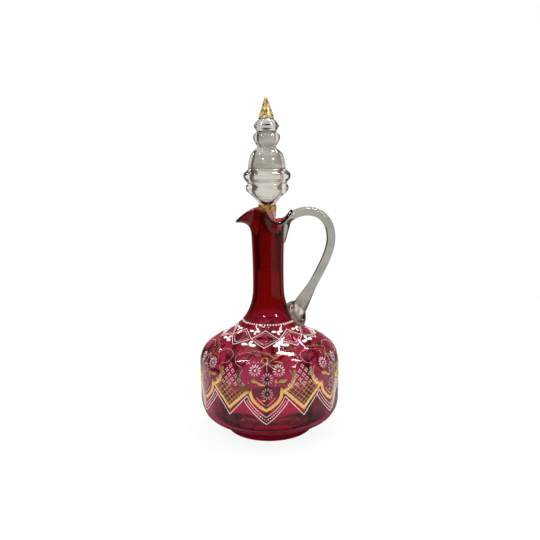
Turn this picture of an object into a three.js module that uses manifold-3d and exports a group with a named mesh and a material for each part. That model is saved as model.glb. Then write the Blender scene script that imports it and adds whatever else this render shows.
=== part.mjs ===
// A claret decanter of blown glass: a ruby drum-shaped body with a tall neck and a
// three-lobed lip, an applied foot, an applied clear handle, a hollow clear stopper that
// lifts out, and bands of gilding and white enamel fired on to the glass.
// Millimetres, +Z up. The origin is on the axis, on the table. The handle is towards +X,
// the pouring lobe towards -X, and the main painted panel faces -Y.

import * as THREE from "three";
import { mergeVertices } from "three/addons/utils/BufferGeometryUtils.js";
import Module from "manifold-3d";

const wasm = await Module();
wasm.setup();

// Foot
const FOOT_RADIUS = 37.2;
const FOOT_HEIGHT = 5.2;
const FOOT_EDGE = 0.8;
const FOOT_RIM_WIDTH = 6;
const FOOT_HOLLOW_DEPTH = 1.6;

// Body, from the foot upwards
const BASE_RADIUS = 37.6;
const BASE_EDGE = 0.6;
const UNDERSIDE_HEIGHT = 24.5;
const BELLY_RADIUS = 59.6;
const BELLY_HEIGHT = 27;
const SHOULDER_HEIGHT = 22.3;
const SHOULDER_RADIUS = 46;
const SLOPE_HEIGHT = 42.7;
const NECK_LOW_RADIUS = 13.1;
const NECK_WAIST_NARROWING = 0.4;
const NECK_LENGTH = 44;
const NECK_TOP_RADIUS = 13.6;
const LOBE_COUNT = 10;
const LOBE_DEPTH = 0.6;

// Walls of the body
const BODY_WALL = 2.4;
const BOTTOM_WALL = 8;
const NECK_WALL = 3.5;
const LIP_WALL = 2.2;

// Lip: how far each part of the rim reaches from the axis and rises over the neck
const SPOUT_REACH = 25.6;
const SPOUT_RISE = 12.2;
const PINCH_REACH = 14.6;
const PINCH_RISE = 23.2;
const SIDE_LOBE_REACH = 19.5;
const SIDE_LOBE_RISE = 12;
const HANDLE_PEAK_REACH = 20.8;
const HANDLE_PEAK_RISE = 21;

// Stopper
const PLUG_TAPER = 0.9;
const PLUG_LENGTH = 28;
const STEM_RADIUS = 7;
const STEM_HEIGHT = 22;
const COLLAR_HEIGHT = 5.6;
const RIDGE_RADIUS = 17.7;
const RIDGE_HEIGHT = 12.9;
const GROOVE_DEPTH = 1.4;
const RING_RADIUS = 19.5;
const RING_HEIGHT = 10.4;
const DOME_RADIUS = 15.3;
const DOME_HEIGHT = 23;
const WAIST_RADIUS = 7.6;
const KNOP_RADIUS = 11;
const KNOP_HEIGHT = 12.4;
const UPPER_GROOVE_RADIUS = 8;
const TOP_RING_RADIUS = 10.2;
const TOP_RING_HEIGHT = 9.8;
const SPIRE_RADIUS = 6.2;
const SPIRE_HEIGHT = 17.9;
const SPIRE_TIP_RADIUS = 0.5;
const STOPPER_WALL = 3;
const DOME_WALL = 6.4;

// Handle: its bend lies below the top of the neck, its pad above the shoulder
const HANDLE_REACH = 52.7;
const HANDLE_BEND_DROP = 1;
const HANDLE_CROWN_RISE = 12.6;
const HANDLE_ROOT_SINK = 1.5;
const HANDLE_THICKNESS = 7.4;
const HANDLE_WIDTH = 9;
const HANDLE_PAD_RISE = 17.7;
const HANDLE_PAD_RADIUS = 10.5;
const HANDLE_PAD_HEIGHT = 28;
const HANDLE_PAD_WIDTH = 15;
const HANDLE_TAIL_LENGTH = 19;
const HANDLE_TAIL_THICKNESS = 3.2;

// Gilding and enamel
const PANEL_COUNT = 6;
const DIAMOND_COUNT = 9;
const DIAMOND_TURN_DEGREES = -3;
const GILT_BAND_WIDTH = 2.1;
const GILT_THICKNESS = 0.35;
const ENAMEL_LINE_WIDTH = 0.8;
const ENAMEL_THICKNESS = 0.45;

// Heights of the painted points over the lower edge of the belly
const PANEL_TIP_RISE = 6.3;
const PANEL_CUSP_RISE = 23.2;
const PANEL_TOP_RISE = 37.3;
const LATTICE_TIP_RISE = 6;
const ENAMEL_TIP_RISE = -5.2;
const ENAMEL_INNER_TIP_RISE = 0.4;
const ENAMEL_CROWN_RISE = 15.4;
const ENAMEL_LATTICE_RISE = 0;

// Heights of the diamonds and the bead ring over the shoulder
const DIAMOND_BOTTOM_RISE = 2.7;
const DIAMOND_MIDDLE_RISE = 7.2;
const DIAMOND_TOP_RISE = 12.6;
const BEAD_RING_RISE = 16.3;

// Gaps between pieces that touch
const JOIN_GAP = 0.3;
const PAINT_GAP = 0.2;
const PLUG_GAP = 0.3;

// How finely the round pieces are divided
const VESSEL_SIDES = 60;
const STOPPER_SIDES = 36;
const BAND_SIDES = 48;

const TURN = 2 * Math.PI;
const CIRCLE_DEGREES = 360;
const DEGREE = TURN / CIRCLE_DEGREES;
const FRONT = -TURN / 4;

// Heights, each stacked on the one below
const bodyStart = FOOT_HEIGHT + JOIN_GAP;
const bellyStart = bodyStart + UNDERSIDE_HEIGHT;
const bellyEnd = bellyStart + BELLY_HEIGHT;
const shoulderEnd = bellyEnd + SHOULDER_HEIGHT;
const slopeEnd = shoulderEnd + SLOPE_HEIGHT;
const neckEnd = slopeEnd + NECK_LENGTH;
const collarStart = neckEnd + STEM_HEIGHT;
const panelTip = bellyStart + PANEL_TIP_RISE;
const panelCusp = bellyStart + PANEL_CUSP_RISE;
const panelTop = bellyStart + PANEL_TOP_RISE;
const latticeTip = bellyStart + LATTICE_TIP_RISE;
const enamelTip = bellyStart + ENAMEL_TIP_RISE;
const enamelInnerTip = bellyStart + ENAMEL_INNER_TIP_RISE;
const enamelCrown = bellyStart + ENAMEL_CROWN_RISE;
const enamelLattice = bellyStart + ENAMEL_LATTICE_RISE;
const seatRadius = NECK_TOP_RADIUS - NECK_WALL;
const plugRadius = seatRadius - PLUG_GAP;
const diamondBottom = shoulderEnd + DIAMOND_BOTTOM_RISE;
const diamondMiddle = shoulderEnd + DIAMOND_MIDDLE_RISE;
const diamondTop = shoulderEnd + DIAMOND_TOP_RISE;

// A cubic curve in the plane of radius and height
function bend(from, pullFrom, pullTo, to) {
  const points = [from, pullFrom, pullTo, to].map(([r, z]) => new THREE.Vector2(r, z));
  return new THREE.CubicBezierCurve(...points);
}

function blend(a, b, share) {
  return a + (b - a) * share;
}

// The body's outer line, from its base to the top of its neck
const underside = bend(
  [BASE_RADIUS, bodyStart + BASE_EDGE],
  [blend(BASE_RADIUS, BELLY_RADIUS, 0.56), bodyStart + 0.22 * UNDERSIDE_HEIGHT],
  [blend(BASE_RADIUS, BELLY_RADIUS, 1.01), bodyStart + 0.3 * UNDERSIDE_HEIGHT],
  [BELLY_RADIUS - 0.1, bellyStart],
);
const belly = bend(
  [BELLY_RADIUS - 0.1, bellyStart],
  [BELLY_RADIUS - 0.1, bellyStart + 0.35 * BELLY_HEIGHT],
  [BELLY_RADIUS, bellyStart + 0.7 * BELLY_HEIGHT],
  [BELLY_RADIUS, bellyEnd],
);
const shoulder = bend(
  [BELLY_RADIUS, bellyEnd],
  [BELLY_RADIUS, bellyEnd + 0.54 * SHOULDER_HEIGHT],
  [blend(SHOULDER_RADIUS, BELLY_RADIUS, 0.74), bellyEnd + 0.75 * SHOULDER_HEIGHT],
  [SHOULDER_RADIUS, shoulderEnd],
);
const slope = bend(
  [SHOULDER_RADIUS, shoulderEnd],
  [blend(SHOULDER_RADIUS, NECK_LOW_RADIUS, 0.52), shoulderEnd + 0.2 * SLOPE_HEIGHT],
  [NECK_LOW_RADIUS + 0.9, shoulderEnd + 0.41 * SLOPE_HEIGHT],
  [NECK_LOW_RADIUS, slopeEnd],
);
const neck = bend(
  [NECK_LOW_RADIUS, slopeEnd],
  [NECK_LOW_RADIUS - NECK_WAIST_NARROWING, slopeEnd + 0.34 * NECK_LENGTH],
  [NECK_TOP_RADIUS - 1.5 * NECK_WAIST_NARROWING, slopeEnd + 0.66 * NECK_LENGTH],
  [NECK_TOP_RADIUS, neckEnd],
);

// Where along a rising curve a height is reached
function shareAtHeight(curve, z) {
  let low = 0;
  let high = 1;
  for (let step = 0; step < 40; step += 1) {
    const middle = (low + high) / 2;
    if (curve.getPoint(middle).y < z) {
      low = middle;
    } else {
      high = middle;
    }
  }
  return (low + high) / 2;
}

const bodyCurves = [underside, belly, shoulder, slope, neck];

function curveAtHeight(z) {
  return bodyCurves.find((curve) => z <= curve.getPoint(1).y) ?? neck;
}

// The outward direction across a curve of radius and height
function outwardFrom(curve, share) {
  const along = curve.getTangent(share);
  return new THREE.Vector2(along.y, -along.x);
}

// The soft upright lobes of the body fade out at the foot and at the neck
function lobeAt(angle, z) {
  const fadeIn = THREE.MathUtils.smoothstep(z, bodyStart, bellyStart);
  const fadeOut = 1 - THREE.MathUtils.smoothstep(z, bellyEnd, slopeEnd);
  const wave = (1 + Math.cos(LOBE_COUNT * (angle - FRONT))) / 2;
  return -LOBE_DEPTH * fadeIn * fadeOut * wave;
}

function place(radius, angle, z) {
  return new THREE.Vector3(radius * Math.cos(angle), radius * Math.sin(angle), z);
}

// A point over the body's outer face, at an angle, a height and a distance off the glass
function overGlass(angle, z, distance) {
  const curve = curveAtHeight(z);
  const share = shareAtHeight(curve, z);
  const point = curve.getPoint(share).addScaledVector(outwardFrom(curve, share), distance);
  return place(point.x + lobeAt(angle, z), angle, point.y);
}

// The rim is given at the handle, a side lobe, a pinch and the spout, and mirrored
const rimReach = [HANDLE_PEAK_REACH, SIDE_LOBE_REACH, PINCH_REACH, SPOUT_REACH];
const rimRise = [HANDLE_PEAK_RISE, SIDE_LOBE_RISE, PINCH_RISE, SPOUT_RISE];
const rimCurl = [0.72, 0.72, 0.72, 1.05];

function aroundRim(values, angle) {
  const turned = Math.abs(THREE.MathUtils.euclideanModulo(angle + Math.PI, TURN) - Math.PI);
  const position = Math.min(turned / (Math.PI / 3), 2.9999);
  const start = Math.floor(position);
  const share = (1 - Math.cos(Math.PI * (position - start))) / 2;
  return blend(values[start], values[start + 1], share);
}

function lipCurve(angle) {
  const reach = aroundRim(rimReach, angle);
  const rise = aroundRim(rimRise, angle);
  const curl = aroundRim(rimCurl, angle);
  return bend(
    [NECK_TOP_RADIUS, neckEnd],
    [NECK_TOP_RADIUS + 0.1, neckEnd + 0.55 * curl * rise],
    [blend(NECK_TOP_RADIUS, reach, 0.15), neckEnd + curl * rise],
    [reach, neckEnd + rise],
  );
}

// Turns a list of rings, with a point closing each end, into one closed mesh
function closedRings(first, rings, last) {
  const sides = rings[0].length;
  const points = [first, ...rings.flat(), last];
  const faces = [];
  for (let side = 0; side < sides; side += 1) {
    const next = (side + 1) % sides;
    faces.push(0, 1 + next, 1 + side);
    for (let ring = 0; ring + 1 < rings.length; ring += 1) {
      const a = 1 + ring * sides + side;
      const b = 1 + ring * sides + next;
      faces.push(a, b, b + sides);
      faces.push(a, b + sides, a + sides);
    }
    const top = 1 + (rings.length - 1) * sides;
    faces.push(top + side, top + next, points.length - 1);
  }
  const geometry = new THREE.BufferGeometry().setFromPoints(points);
  geometry.setIndex(faces);
  return geometry;
}

function ring(sides, pointAt) {
  return Array.from({ length: sides }, (_, side) => pointAt((side * TURN) / sides));
}

// Evenly spaced shares from 0 to 1, both ends included
function shares(steps) {
  return Array.from({ length: steps + 1 }, (_, step) => step / steps);
}

function turnedRing(sides, radius, z) {
  return ring(sides, (angle) => place(radius, angle, z));
}

// The body's outer rings up to the neck, moved outwards by a distance
function outerRings(distance) {
  const steps = [5, 2, 4, 8, 3];
  const rings = [];
  bodyCurves.forEach((curve, index) => {
    for (const share of shares(steps[index]).slice(index === 0 ? 0 : 1)) {
      const z = curve.getPoint(share).y;
      rings.push(ring(VESSEL_SIDES, (angle) => {
        const normal = outwardFrom(curve, share);
        const point = curve.getPoint(share).addScaledVector(normal, distance);
        return place(point.x + lobeAt(angle, z), angle, point.y);
      }));
    }
  });
  return rings;
}

function lipRing(share, distance, lift) {
  return ring(VESSEL_SIDES, (angle) => {
    const curve = lipCurve(angle);
    const normal = outwardFrom(curve, share);
    const along = curve.getTangent(share);
    const point = curve.getPoint(share).addScaledVector(normal, distance);
    point.addScaledVector(along, lift);
    return place(point.x, angle, point.y);
  });
}

const LIP_SHARES = [0.3, 0.6, 0.85, 1];

// The inner line, from the lip down to the middle of the bottom
function innerRings() {
  const rings = [];
  for (const share of [...LIP_SHARES].reverse()) {
    rings.push(lipRing(share, -LIP_WALL, 0));
  }
  rings.push(turnedRing(VESSEL_SIDES, seatRadius, neckEnd));
  rings.push(turnedRing(VESSEL_SIDES, seatRadius - PLUG_TAPER, neckEnd - PLUG_LENGTH));
  const steps = [4, 1, 4, 6];
  const bottom = bodyStart + BOTTOM_WALL;
  const bottomEdge = underside.getPoint(shareAtHeight(underside, bottom)).x - 2 * BODY_WALL;
  for (let index = 3; index >= 0; index -= 1) {
    const curve = bodyCurves[index];
    const inner = shares(steps[index]).reverse();
    for (const share of inner.slice(index === 3 ? 0 : 1)) {
      const normal = outwardFrom(curve, share);
      const neckShare = index === 3 ? share : 0;
      const wall = blend(BODY_WALL, NECK_WALL, neckShare);
      const point = curve.getPoint(share).addScaledVector(normal, -wall);
      if (point.y > bottom + 0.5 * BODY_WALL) {
        rings.push(turnedRing(VESSEL_SIDES, point.x - LOBE_DEPTH, point.y));
      }
    }
  }
  rings.push(turnedRing(VESSEL_SIDES, bottomEdge, bottom));
  return rings;
}

function vesselGeometry() {
  const base = turnedRing(VESSEL_SIDES, BASE_RADIUS - BASE_EDGE, bodyStart);
  const outer = [base, ...outerRings(0), ...LIP_SHARES.map((share) => lipRing(share, 0, 0))];
  const crest = lipRing(1, -LIP_WALL / 2, LIP_WALL * 0.4);
  return closedRings(
    place(0, 0, bodyStart),
    [...outer, crest, ...innerRings()],
    place(0, 0, bodyStart + BOTTOM_WALL),
  );
}

// The space that the body fills, filled solid and grown by the gap kept round it
function vesselEnvelope(gap) {
  const base = turnedRing(VESSEL_SIDES, BASE_RADIUS, bodyStart - gap);
  const lip = LIP_SHARES.map((share) => lipRing(share, gap, 0));
  const over = lipRing(1, gap, LIP_WALL / 2 + gap);
  const closing = lipRing(1, -LIP_WALL - gap, LIP_WALL / 2 + gap);
  return closedRings(
    place(0, 0, bodyStart - gap),
    [base, ...outerRings(gap), ...lip, over, closing],
    place(0, 0, neckEnd),
  );
}

// A turned piece, from a list of [radius, height] that starts and ends on the axis
function turned(outline, sides) {
  const points = outline.map(([r, z]) => new THREE.Vector2(r, z));
  const geometry = new THREE.LatheGeometry(points, sides);
  geometry.rotateX(Math.PI / 2);
  return geometry;
}

// Solids that are cut or joined
function toSolid(geometry) {
  const bare = geometry.clone();
  bare.deleteAttribute("normal");
  bare.deleteAttribute("uv");
  const merged = mergeVertices(bare, 1e-4);
  return new wasm.Manifold(new wasm.Mesh({
    numProp: 3,
    vertProperties: new Float32Array(merged.attributes.position.array),
    triVerts: new Uint32Array(merged.index.array),
  }));
}

function fromSolid(solid) {
  const mesh = solid.getMesh();
  const geometry = new THREE.BufferGeometry();
  geometry.setAttribute("position", new THREE.BufferAttribute(mesh.vertProperties, 3));
  geometry.setIndex(new THREE.BufferAttribute(mesh.triVerts, 1));
  return geometry;
}

function footGeometry() {
  const hollow = FOOT_RADIUS - FOOT_RIM_WIDTH;
  return turned([
    [0, FOOT_HOLLOW_DEPTH],
    [hollow * 0.75, FOOT_HOLLOW_DEPTH * 0.6],
    [hollow, 0],
    [FOOT_RADIUS - FOOT_EDGE, 0],
    [FOOT_RADIUS, FOOT_EDGE],
    [FOOT_RADIUS, FOOT_HEIGHT - FOOT_EDGE],
    [FOOT_RADIUS - FOOT_EDGE, FOOT_HEIGHT],
    [0, FOOT_HEIGHT],
  ], VESSEL_SIDES);
}

// Stopper: the heights of its turned features, each stacked on the one below
const coneStart = collarStart + COLLAR_HEIGHT;
const ridgeZ = coneStart + RIDGE_HEIGHT;
const ringZ = ridgeZ + RING_HEIGHT;
const waistZ = ringZ + DOME_HEIGHT;
const knopZ = waistZ + 0.6 * KNOP_HEIGHT;
const upperGrooveZ = waistZ + KNOP_HEIGHT;
const topRingZ = upperGrooveZ + 0.5 * TOP_RING_HEIGHT;
const spireZ = upperGrooveZ + TOP_RING_HEIGHT;
const tipZ = spireZ + SPIRE_HEIGHT;
const plugEnd = neckEnd - PLUG_LENGTH;
const giltSkin = GILT_THICKNESS + PAINT_GAP;
const grooveZ = blend(ridgeZ, ringZ, 0.44);
const domeTopRadius = blend(WAIST_RADIUS, DOME_RADIUS, 0.76);

// A smooth line through points of radius and height, in a number of steps
function smoothLine(points, steps) {
  const line = new THREE.SplineCurve(points.map(([r, z]) => new THREE.Vector2(r, z)));
  return line.getPoints(steps).map((point) => [point.x, point.y]);
}

function stopperGeometry() {
  const bore = STEM_RADIUS - STOPPER_WALL;
  const outside = smoothLine([
    [STEM_RADIUS, collarStart],
    [STEM_RADIUS + 0.2, coneStart],
    [blend(STEM_RADIUS, RIDGE_RADIUS, 0.33), blend(coneStart, ridgeZ, 0.37)],
    [blend(STEM_RADIUS, RIDGE_RADIUS, 0.8), blend(coneStart, ridgeZ, 0.76)],
    [RIDGE_RADIUS, ridgeZ],
    [RIDGE_RADIUS - GROOVE_DEPTH, grooveZ],
    [blend(RIDGE_RADIUS, RING_RADIUS, 0.4), blend(grooveZ, ringZ, 0.5)],
    [RING_RADIUS, ringZ],
    [blend(DOME_RADIUS, RING_RADIUS, 0.35), ringZ + 0.16 * DOME_HEIGHT],
    [DOME_RADIUS, ringZ + 0.27 * DOME_HEIGHT],
    [DOME_RADIUS - 0.3, ringZ + 0.46 * DOME_HEIGHT],
    [domeTopRadius, ringZ + 0.7 * DOME_HEIGHT],
    [blend(WAIST_RADIUS, DOME_RADIUS, 0.27), ringZ + 0.89 * DOME_HEIGHT],
    [WAIST_RADIUS, waistZ],
    [blend(WAIST_RADIUS, KNOP_RADIUS, 0.65), waistZ + 0.33 * KNOP_HEIGHT],
    [KNOP_RADIUS, knopZ],
    [blend(UPPER_GROOVE_RADIUS, KNOP_RADIUS, 0.7), waistZ + 0.84 * KNOP_HEIGHT],
    [UPPER_GROOVE_RADIUS, upperGrooveZ],
    [TOP_RING_RADIUS, topRingZ],
    [blend(SPIRE_RADIUS, TOP_RING_RADIUS, 0.4), blend(topRingZ, spireZ, 0.55)],
    [SPIRE_RADIUS, spireZ],
  ], 32);
  const inside = smoothLine([
    [bore, coneStart],
    [blend(bore, DOME_RADIUS - DOME_WALL, 0.6), blend(coneStart, ridgeZ, 0.8)],
    [DOME_RADIUS - DOME_WALL, blend(grooveZ, ringZ, 0.3)],
    [DOME_RADIUS - DOME_WALL, ringZ + 0.3 * DOME_HEIGHT],
    [domeTopRadius - DOME_WALL, ringZ + 0.68 * DOME_HEIGHT],
    [WAIST_RADIUS - STOPPER_WALL, waistZ],
    [WAIST_RADIUS - STOPPER_WALL, knopZ],
  ], 12);
  return turned([
    [bore, plugEnd],
    [plugRadius - PLUG_TAPER, plugEnd],
    [plugRadius, neckEnd],
    [blend(STEM_RADIUS, plugRadius, 0.25), neckEnd + 0.25 * STEM_HEIGHT],
    ...outside,
    [SPIRE_TIP_RADIUS, tipZ - 2 * giltSkin],
    [0, tipZ - 1.6 * giltSkin],
    [0, topRingZ],
    ...inside.reverse(),
    [bore, plugEnd],
  ], STOPPER_SIDES);
}

// The gilt cap on the spire is a thin cone, open below
function giltTipGeometry() {
  const length = tipZ - spireZ;
  const start = spireZ + 0.04 * length;
  const radiusAt = (z) => blend(SPIRE_RADIUS, SPIRE_TIP_RADIUS, (z - spireZ) / length);
  return turned([
    [0, tipZ - 1.1 * giltSkin],
    [SPIRE_TIP_RADIUS + PAINT_GAP, tipZ - 1.6 * giltSkin],
    [radiusAt(start) + PAINT_GAP, start],
    [radiusAt(start) + giltSkin, start],
    [SPIRE_TIP_RADIUS + giltSkin, tipZ - 0.8 * giltSkin],
    [0, tipZ],
  ], STOPPER_SIDES);
}

function giltCollarGeometry() {
  const inner = STEM_RADIUS + 0.2 + PAINT_GAP;
  return turned([
    [inner, collarStart],
    [inner + GILT_THICKNESS, collarStart],
    [inner + GILT_THICKNESS, coneStart - 0.4],
    [inner, coneStart - 0.4],
    [inner, collarStart],
  ], STOPPER_SIDES);
}

// A closed rod through rings of points
function loft(rings) {
  const middle = (points) => points
    .reduce((sum, point) => sum.add(point), new THREE.Vector3())
    .divideScalar(points.length);
  return closedRings(middle(rings[0]), rings, middle(rings[rings.length - 1]));
}

// A rod along a curve in the plane of the handle, oval in section
function ovalRod(curve, steps, sides, thicknessAt, widthAt) {
  const rings = shares(steps).map((share) => {
    const centre = curve.getPoint(share);
    const along = curve.getTangent(share);
    const across = new THREE.Vector3(along.z, 0, -along.x);
    return ring(sides, (angle) => {
      const out = (Math.cos(angle) * thicknessAt(share)) / 2;
      const side = (Math.sin(angle) * widthAt(share)) / 2;
      return centre.clone().addScaledVector(across, out).add(new THREE.Vector3(0, side, 0));
    });
  });
  return loft(rings);
}

function inPlane(x, z) {
  return new THREE.Vector3(x, 0, z);
}

function roundPad(centre, radius, length, width) {
  const geometry = new THREE.SphereGeometry(1, 20, 14);
  geometry.scale(radius, width / 2, length);
  geometry.translate(centre.x, 0, centre.z);
  return geometry;
}

// The handle's lower end is a round pad in the corner between the neck and the shoulder
const padZ = shoulderEnd + HANDLE_PAD_RISE;
const padX = slope.getPoint(shareAtHeight(slope, padZ)).x;

function handlePad(grown) {
  const centre = inPlane(padX, padZ);
  const radius = HANDLE_PAD_RADIUS + grown;
  const length = 0.5 * HANDLE_PAD_HEIGHT + grown;
  return toSolid(roundPad(centre, radius, length, HANDLE_PAD_WIDTH + 2 * grown));
}

function handleGeometry() {
  const peak = lipCurve(0);
  const top = peak.getPoint(0.6);
  const bendPoint = inPlane(HANDLE_REACH, neckEnd - HANDLE_BEND_DROP);
  const foot = inPlane(padX + 0.3 * HANDLE_PAD_RADIUS, padZ + 0.45 * HANDLE_PAD_RADIUS);
  const crown = top.y + HANDLE_CROWN_RISE;
  const upper = new THREE.CubicBezierCurve3(
    inPlane(top.x - HANDLE_ROOT_SINK, top.y - HANDLE_ROOT_SINK),
    inPlane(blend(top.x, HANDLE_REACH, 0.24), crown),
    inPlane(HANDLE_REACH, crown),
    bendPoint,
  );
  const lower = new THREE.CubicBezierCurve3(
    bendPoint,
    inPlane(HANDLE_REACH, blend(bendPoint.z, foot.z, 0.26)),
    inPlane(blend(HANDLE_REACH, foot.x, 0.58), blend(bendPoint.z, foot.z, 0.63)),
    foot,
  );
  const path = new THREE.CurvePath();
  path.add(upper);
  path.add(lower);
  const spread = (share) => THREE.MathUtils.smoothstep(share, 0.8, 1);
  const thickness = (share) => blend(HANDLE_THICKNESS, 1.25 * HANDLE_PAD_RADIUS, spread(share));
  const width = (share) => blend(HANDLE_WIDTH, 0.9 * HANDLE_PAD_WIDTH, spread(share));
  const strap = ovalRod(path, 32, 14, thickness, width);
  const tailStart = inPlane(top.x - 0.5 * HANDLE_ROOT_SINK, top.y);
  const tailEnd = inPlane(NECK_TOP_RADIUS - 0.5 * HANDLE_ROOT_SINK, top.y - HANDLE_TAIL_LENGTH);
  const tailPath = new THREE.LineCurve3(tailStart, tailEnd);
  const tail = ovalRod(
    tailPath,
    6,
    12,
    (share) => blend(1.3 * HANDLE_THICKNESS, HANDLE_TAIL_THICKNESS, share),
    (share) => blend(HANDLE_WIDTH, HANDLE_TAIL_THICKNESS, share),
  );
  const whole = toSolid(strap).add(handlePad(0)).add(toSolid(tail));
  const cut = whole.subtract(toSolid(vesselEnvelope(JOIN_GAP)));
  return fromSolid(largest(cut));
}

function largest(solid) {
  const parts = solid.decompose();
  return parts.reduce((best, part) => (part.volume() > best.volume() ? part : best));
}

const halfPanel = CIRCLE_DEGREES / 2 / PANEL_COUNT;

// The places along a painted line through [degrees from the front, height] points
function walkLine(points, steps) {
  const path = [points[0]];
  for (let span = 0; span + 1 < points.length; span += 1) {
    for (const share of shares(steps).slice(1)) {
      path.push([
        blend(points[span][0], points[span + 1][0], share),
        blend(points[span][1], points[span + 1][1], share),
      ]);
    }
  }
  return path;
}

// One cross-section of painted line: across the line at a place, mitred where the line turns
function paintSection([degrees, z], before, after, paint) {
  const angle = FRONT + degrees * DEGREE;
  const low = overGlass(angle, z, PAINT_GAP);
  const high = overGlass(angle, z, PAINT_GAP + paint.thickness);
  const off = high.clone().sub(low).normalize();
  const middle = low.clone();
  const toward = (spot) => spot.clone().sub(middle).projectOnPlane(off).normalize();
  const onward = after ? toward(after) : toward(before).negate();
  const arriving = before ? toward(before).negate() : onward;
  const along = onward.clone().add(arriving).normalize();
  const mitre = Math.min(1 / Math.max(along.dot(onward), 0.1), 2.2);
  const half = new THREE.Vector3().crossVectors(off, along).multiplyScalar((mitre * paint.width) / 2);
  if (paint.ridged) {
    return [low.clone().add(half), high, low.clone().sub(half)];
  }
  return [low.clone().add(half), high.clone().add(half), high.clone().sub(half), low.clone().sub(half)];
}

function paintPlace([degrees, z]) {
  return overGlass(FRONT + degrees * DEGREE, z, PAINT_GAP);
}

function openPaint(points, steps, paint) {
  const path = walkLine(points, steps);
  const spots = path.map(paintPlace);
  const rings = path.map((stop, index) => (
    paintSection(stop, spots[index - 1], spots[index + 1], paint)
  ));
  return toSolid(loft(rings));
}

// A painted line that runs all the way round, one copy of its points for each panel
function closedPaint(count, points, steps, paint) {
  const turn = CIRCLE_DEGREES / count;
  const round = [];
  for (let copy = 0; copy < count; copy += 1) {
    round.push(...points.map(([degrees, z]) => [degrees + copy * turn, z]));
  }
  round.push([round[0][0] + CIRCLE_DEGREES, round[0][1]]);
  const path = walkLine(round, steps).slice(0, -1);
  const spots = path.map(paintPlace);
  const size = path.length;
  const rings = path.map((stop, index) => (
    paintSection(stop, spots[(index + size - 1) % size], spots[(index + 1) % size], paint)
  ));
  return toSolid(closedLoop(rings));
}

// A ring-shaped mesh through cross-sections, the last joined to the first
function closedLoop(rings) {
  const sides = rings[0].length;
  const faces = [];
  rings.forEach((_, step) => {
    const here = step * sides;
    const there = ((step + 1) % rings.length) * sides;
    for (let side = 0; side < sides; side += 1) {
      const next = (side + 1) % sides;
      faces.push(here + side, here + next, there + next);
      faces.push(here + side, there + next, there + side);
    }
  });
  const geometry = new THREE.BufferGeometry().setFromPoints(rings.flat());
  geometry.setIndex(faces);
  return geometry;
}

function mirrored(points) {
  return points.map(([degrees, z]) => [-degrees, z]);
}

// Copies of a line and its mirror image at every panel
function paintInPanels(points, steps, paint) {
  const solids = [];
  for (let copy = 0; copy < PANEL_COUNT; copy += 1) {
    for (const line of [points, mirrored(points)]) {
      const moved = line.map(([degrees, z]) => [degrees + copy * 2 * halfPanel, z]);
      solids.push(openPaint(moved, steps, paint));
    }
  }
  return solids;
}

function joined(solids) {
  return solids.reduce((whole, solid) => whole.add(solid));
}

const cuspAngle = 0.41 * halfPanel;
const shoulderAngle = 0.765 * halfPanel;
const gilt = { width: GILT_BAND_WIDTH, thickness: GILT_THICKNESS, ridged: false };
const enamel = { width: ENAMEL_LINE_WIDTH, thickness: ENAMEL_THICKNESS, ridged: true };

// The gilt line: a pointed panel with lobed shoulders, then a lattice point between panels
function giltBorderGeometry() {
  const side = [
    [0.34 * cuspAngle, blend(panelTip, panelCusp, 0.2)],
    [0.78 * cuspAngle, blend(panelTip, panelCusp, 0.48)],
    [0.97 * cuspAngle, blend(panelTip, panelCusp, 0.76)],
    [cuspAngle, panelCusp],
  ];
  const around = [
    [0, panelTip],
    ...side,
    [blend(cuspAngle, halfPanel, 0.5), blend(panelCusp, latticeTip, 0.5)],
    [halfPanel, latticeTip],
    [blend(2 * halfPanel - cuspAngle, halfPanel, 0.5), blend(panelCusp, latticeTip, 0.5)],
    ...mirrored(side).reverse().map(([degrees, z]) => [degrees + 2 * halfPanel, z]),
  ];
  const arm = [
    [0.97 * cuspAngle, panelCusp - 0.2 * GILT_BAND_WIDTH],
    [blend(cuspAngle, shoulderAngle, 0.35), blend(panelCusp, panelTop, 0.2)],
    [blend(cuspAngle, shoulderAngle, 0.78), blend(panelCusp, panelTop, 0.52)],
    [shoulderAngle, panelTop],
  ];
  return fromSolid(joined([
    closedPaint(PANEL_COUNT, around, 2, gilt),
    ...paintInPanels(arm, 2, gilt),
  ]));
}

// The white line below the gilt one, doubled under each panel's point
function enamelBorderGeometry() {
  const crownAngle = 0.545 * halfPanel;
  const side = [
    [0.36 * crownAngle, blend(enamelTip, enamelCrown, 0.22)],
    [0.7 * crownAngle, blend(enamelTip, enamelCrown, 0.47)],
    [crownAngle, enamelCrown],
    [blend(crownAngle, halfPanel, 0.45), blend(enamelLattice, enamelCrown, 0.57)],
  ];
  const around = [
    [0, enamelTip],
    ...side,
    [halfPanel, enamelLattice],
    ...mirrored(side).reverse().map(([degrees, z]) => [degrees + 2 * halfPanel, z]),
  ];
  const inner = [
    [-0.02 * crownAngle, enamelInnerTip],
    [0.5 * crownAngle, blend(enamelInnerTip, enamelCrown, 0.45)],
    [1.01 * crownAngle, enamelCrown],
  ];
  return fromSolid(joined([
    closedPaint(PANEL_COUNT, around, 2, enamel),
    ...paintInPanels(inner, 3, enamel),
  ]));
}

// The chain of diamonds round the shoulder, corner to corner
function diamondChainGeometry() {
  const corner = DIAMOND_TURN_DEGREES + CIRCLE_DEGREES / 2 / DIAMOND_COUNT;
  const crossing = 0.4 * ENAMEL_LINE_WIDTH;
  const upper = [[DIAMOND_TURN_DEGREES, diamondTop], [corner, diamondMiddle - crossing]];
  const lower = [[DIAMOND_TURN_DEGREES, diamondBottom], [corner, diamondMiddle + crossing]];
  const chain = joined([
    closedPaint(DIAMOND_COUNT, upper, 3, enamel),
    closedPaint(DIAMOND_COUNT, lower, 3, enamel),
  ]);
  return fromSolid(largest(chain.subtract(handlePad(2 * PAINT_GAP))));
}

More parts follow.
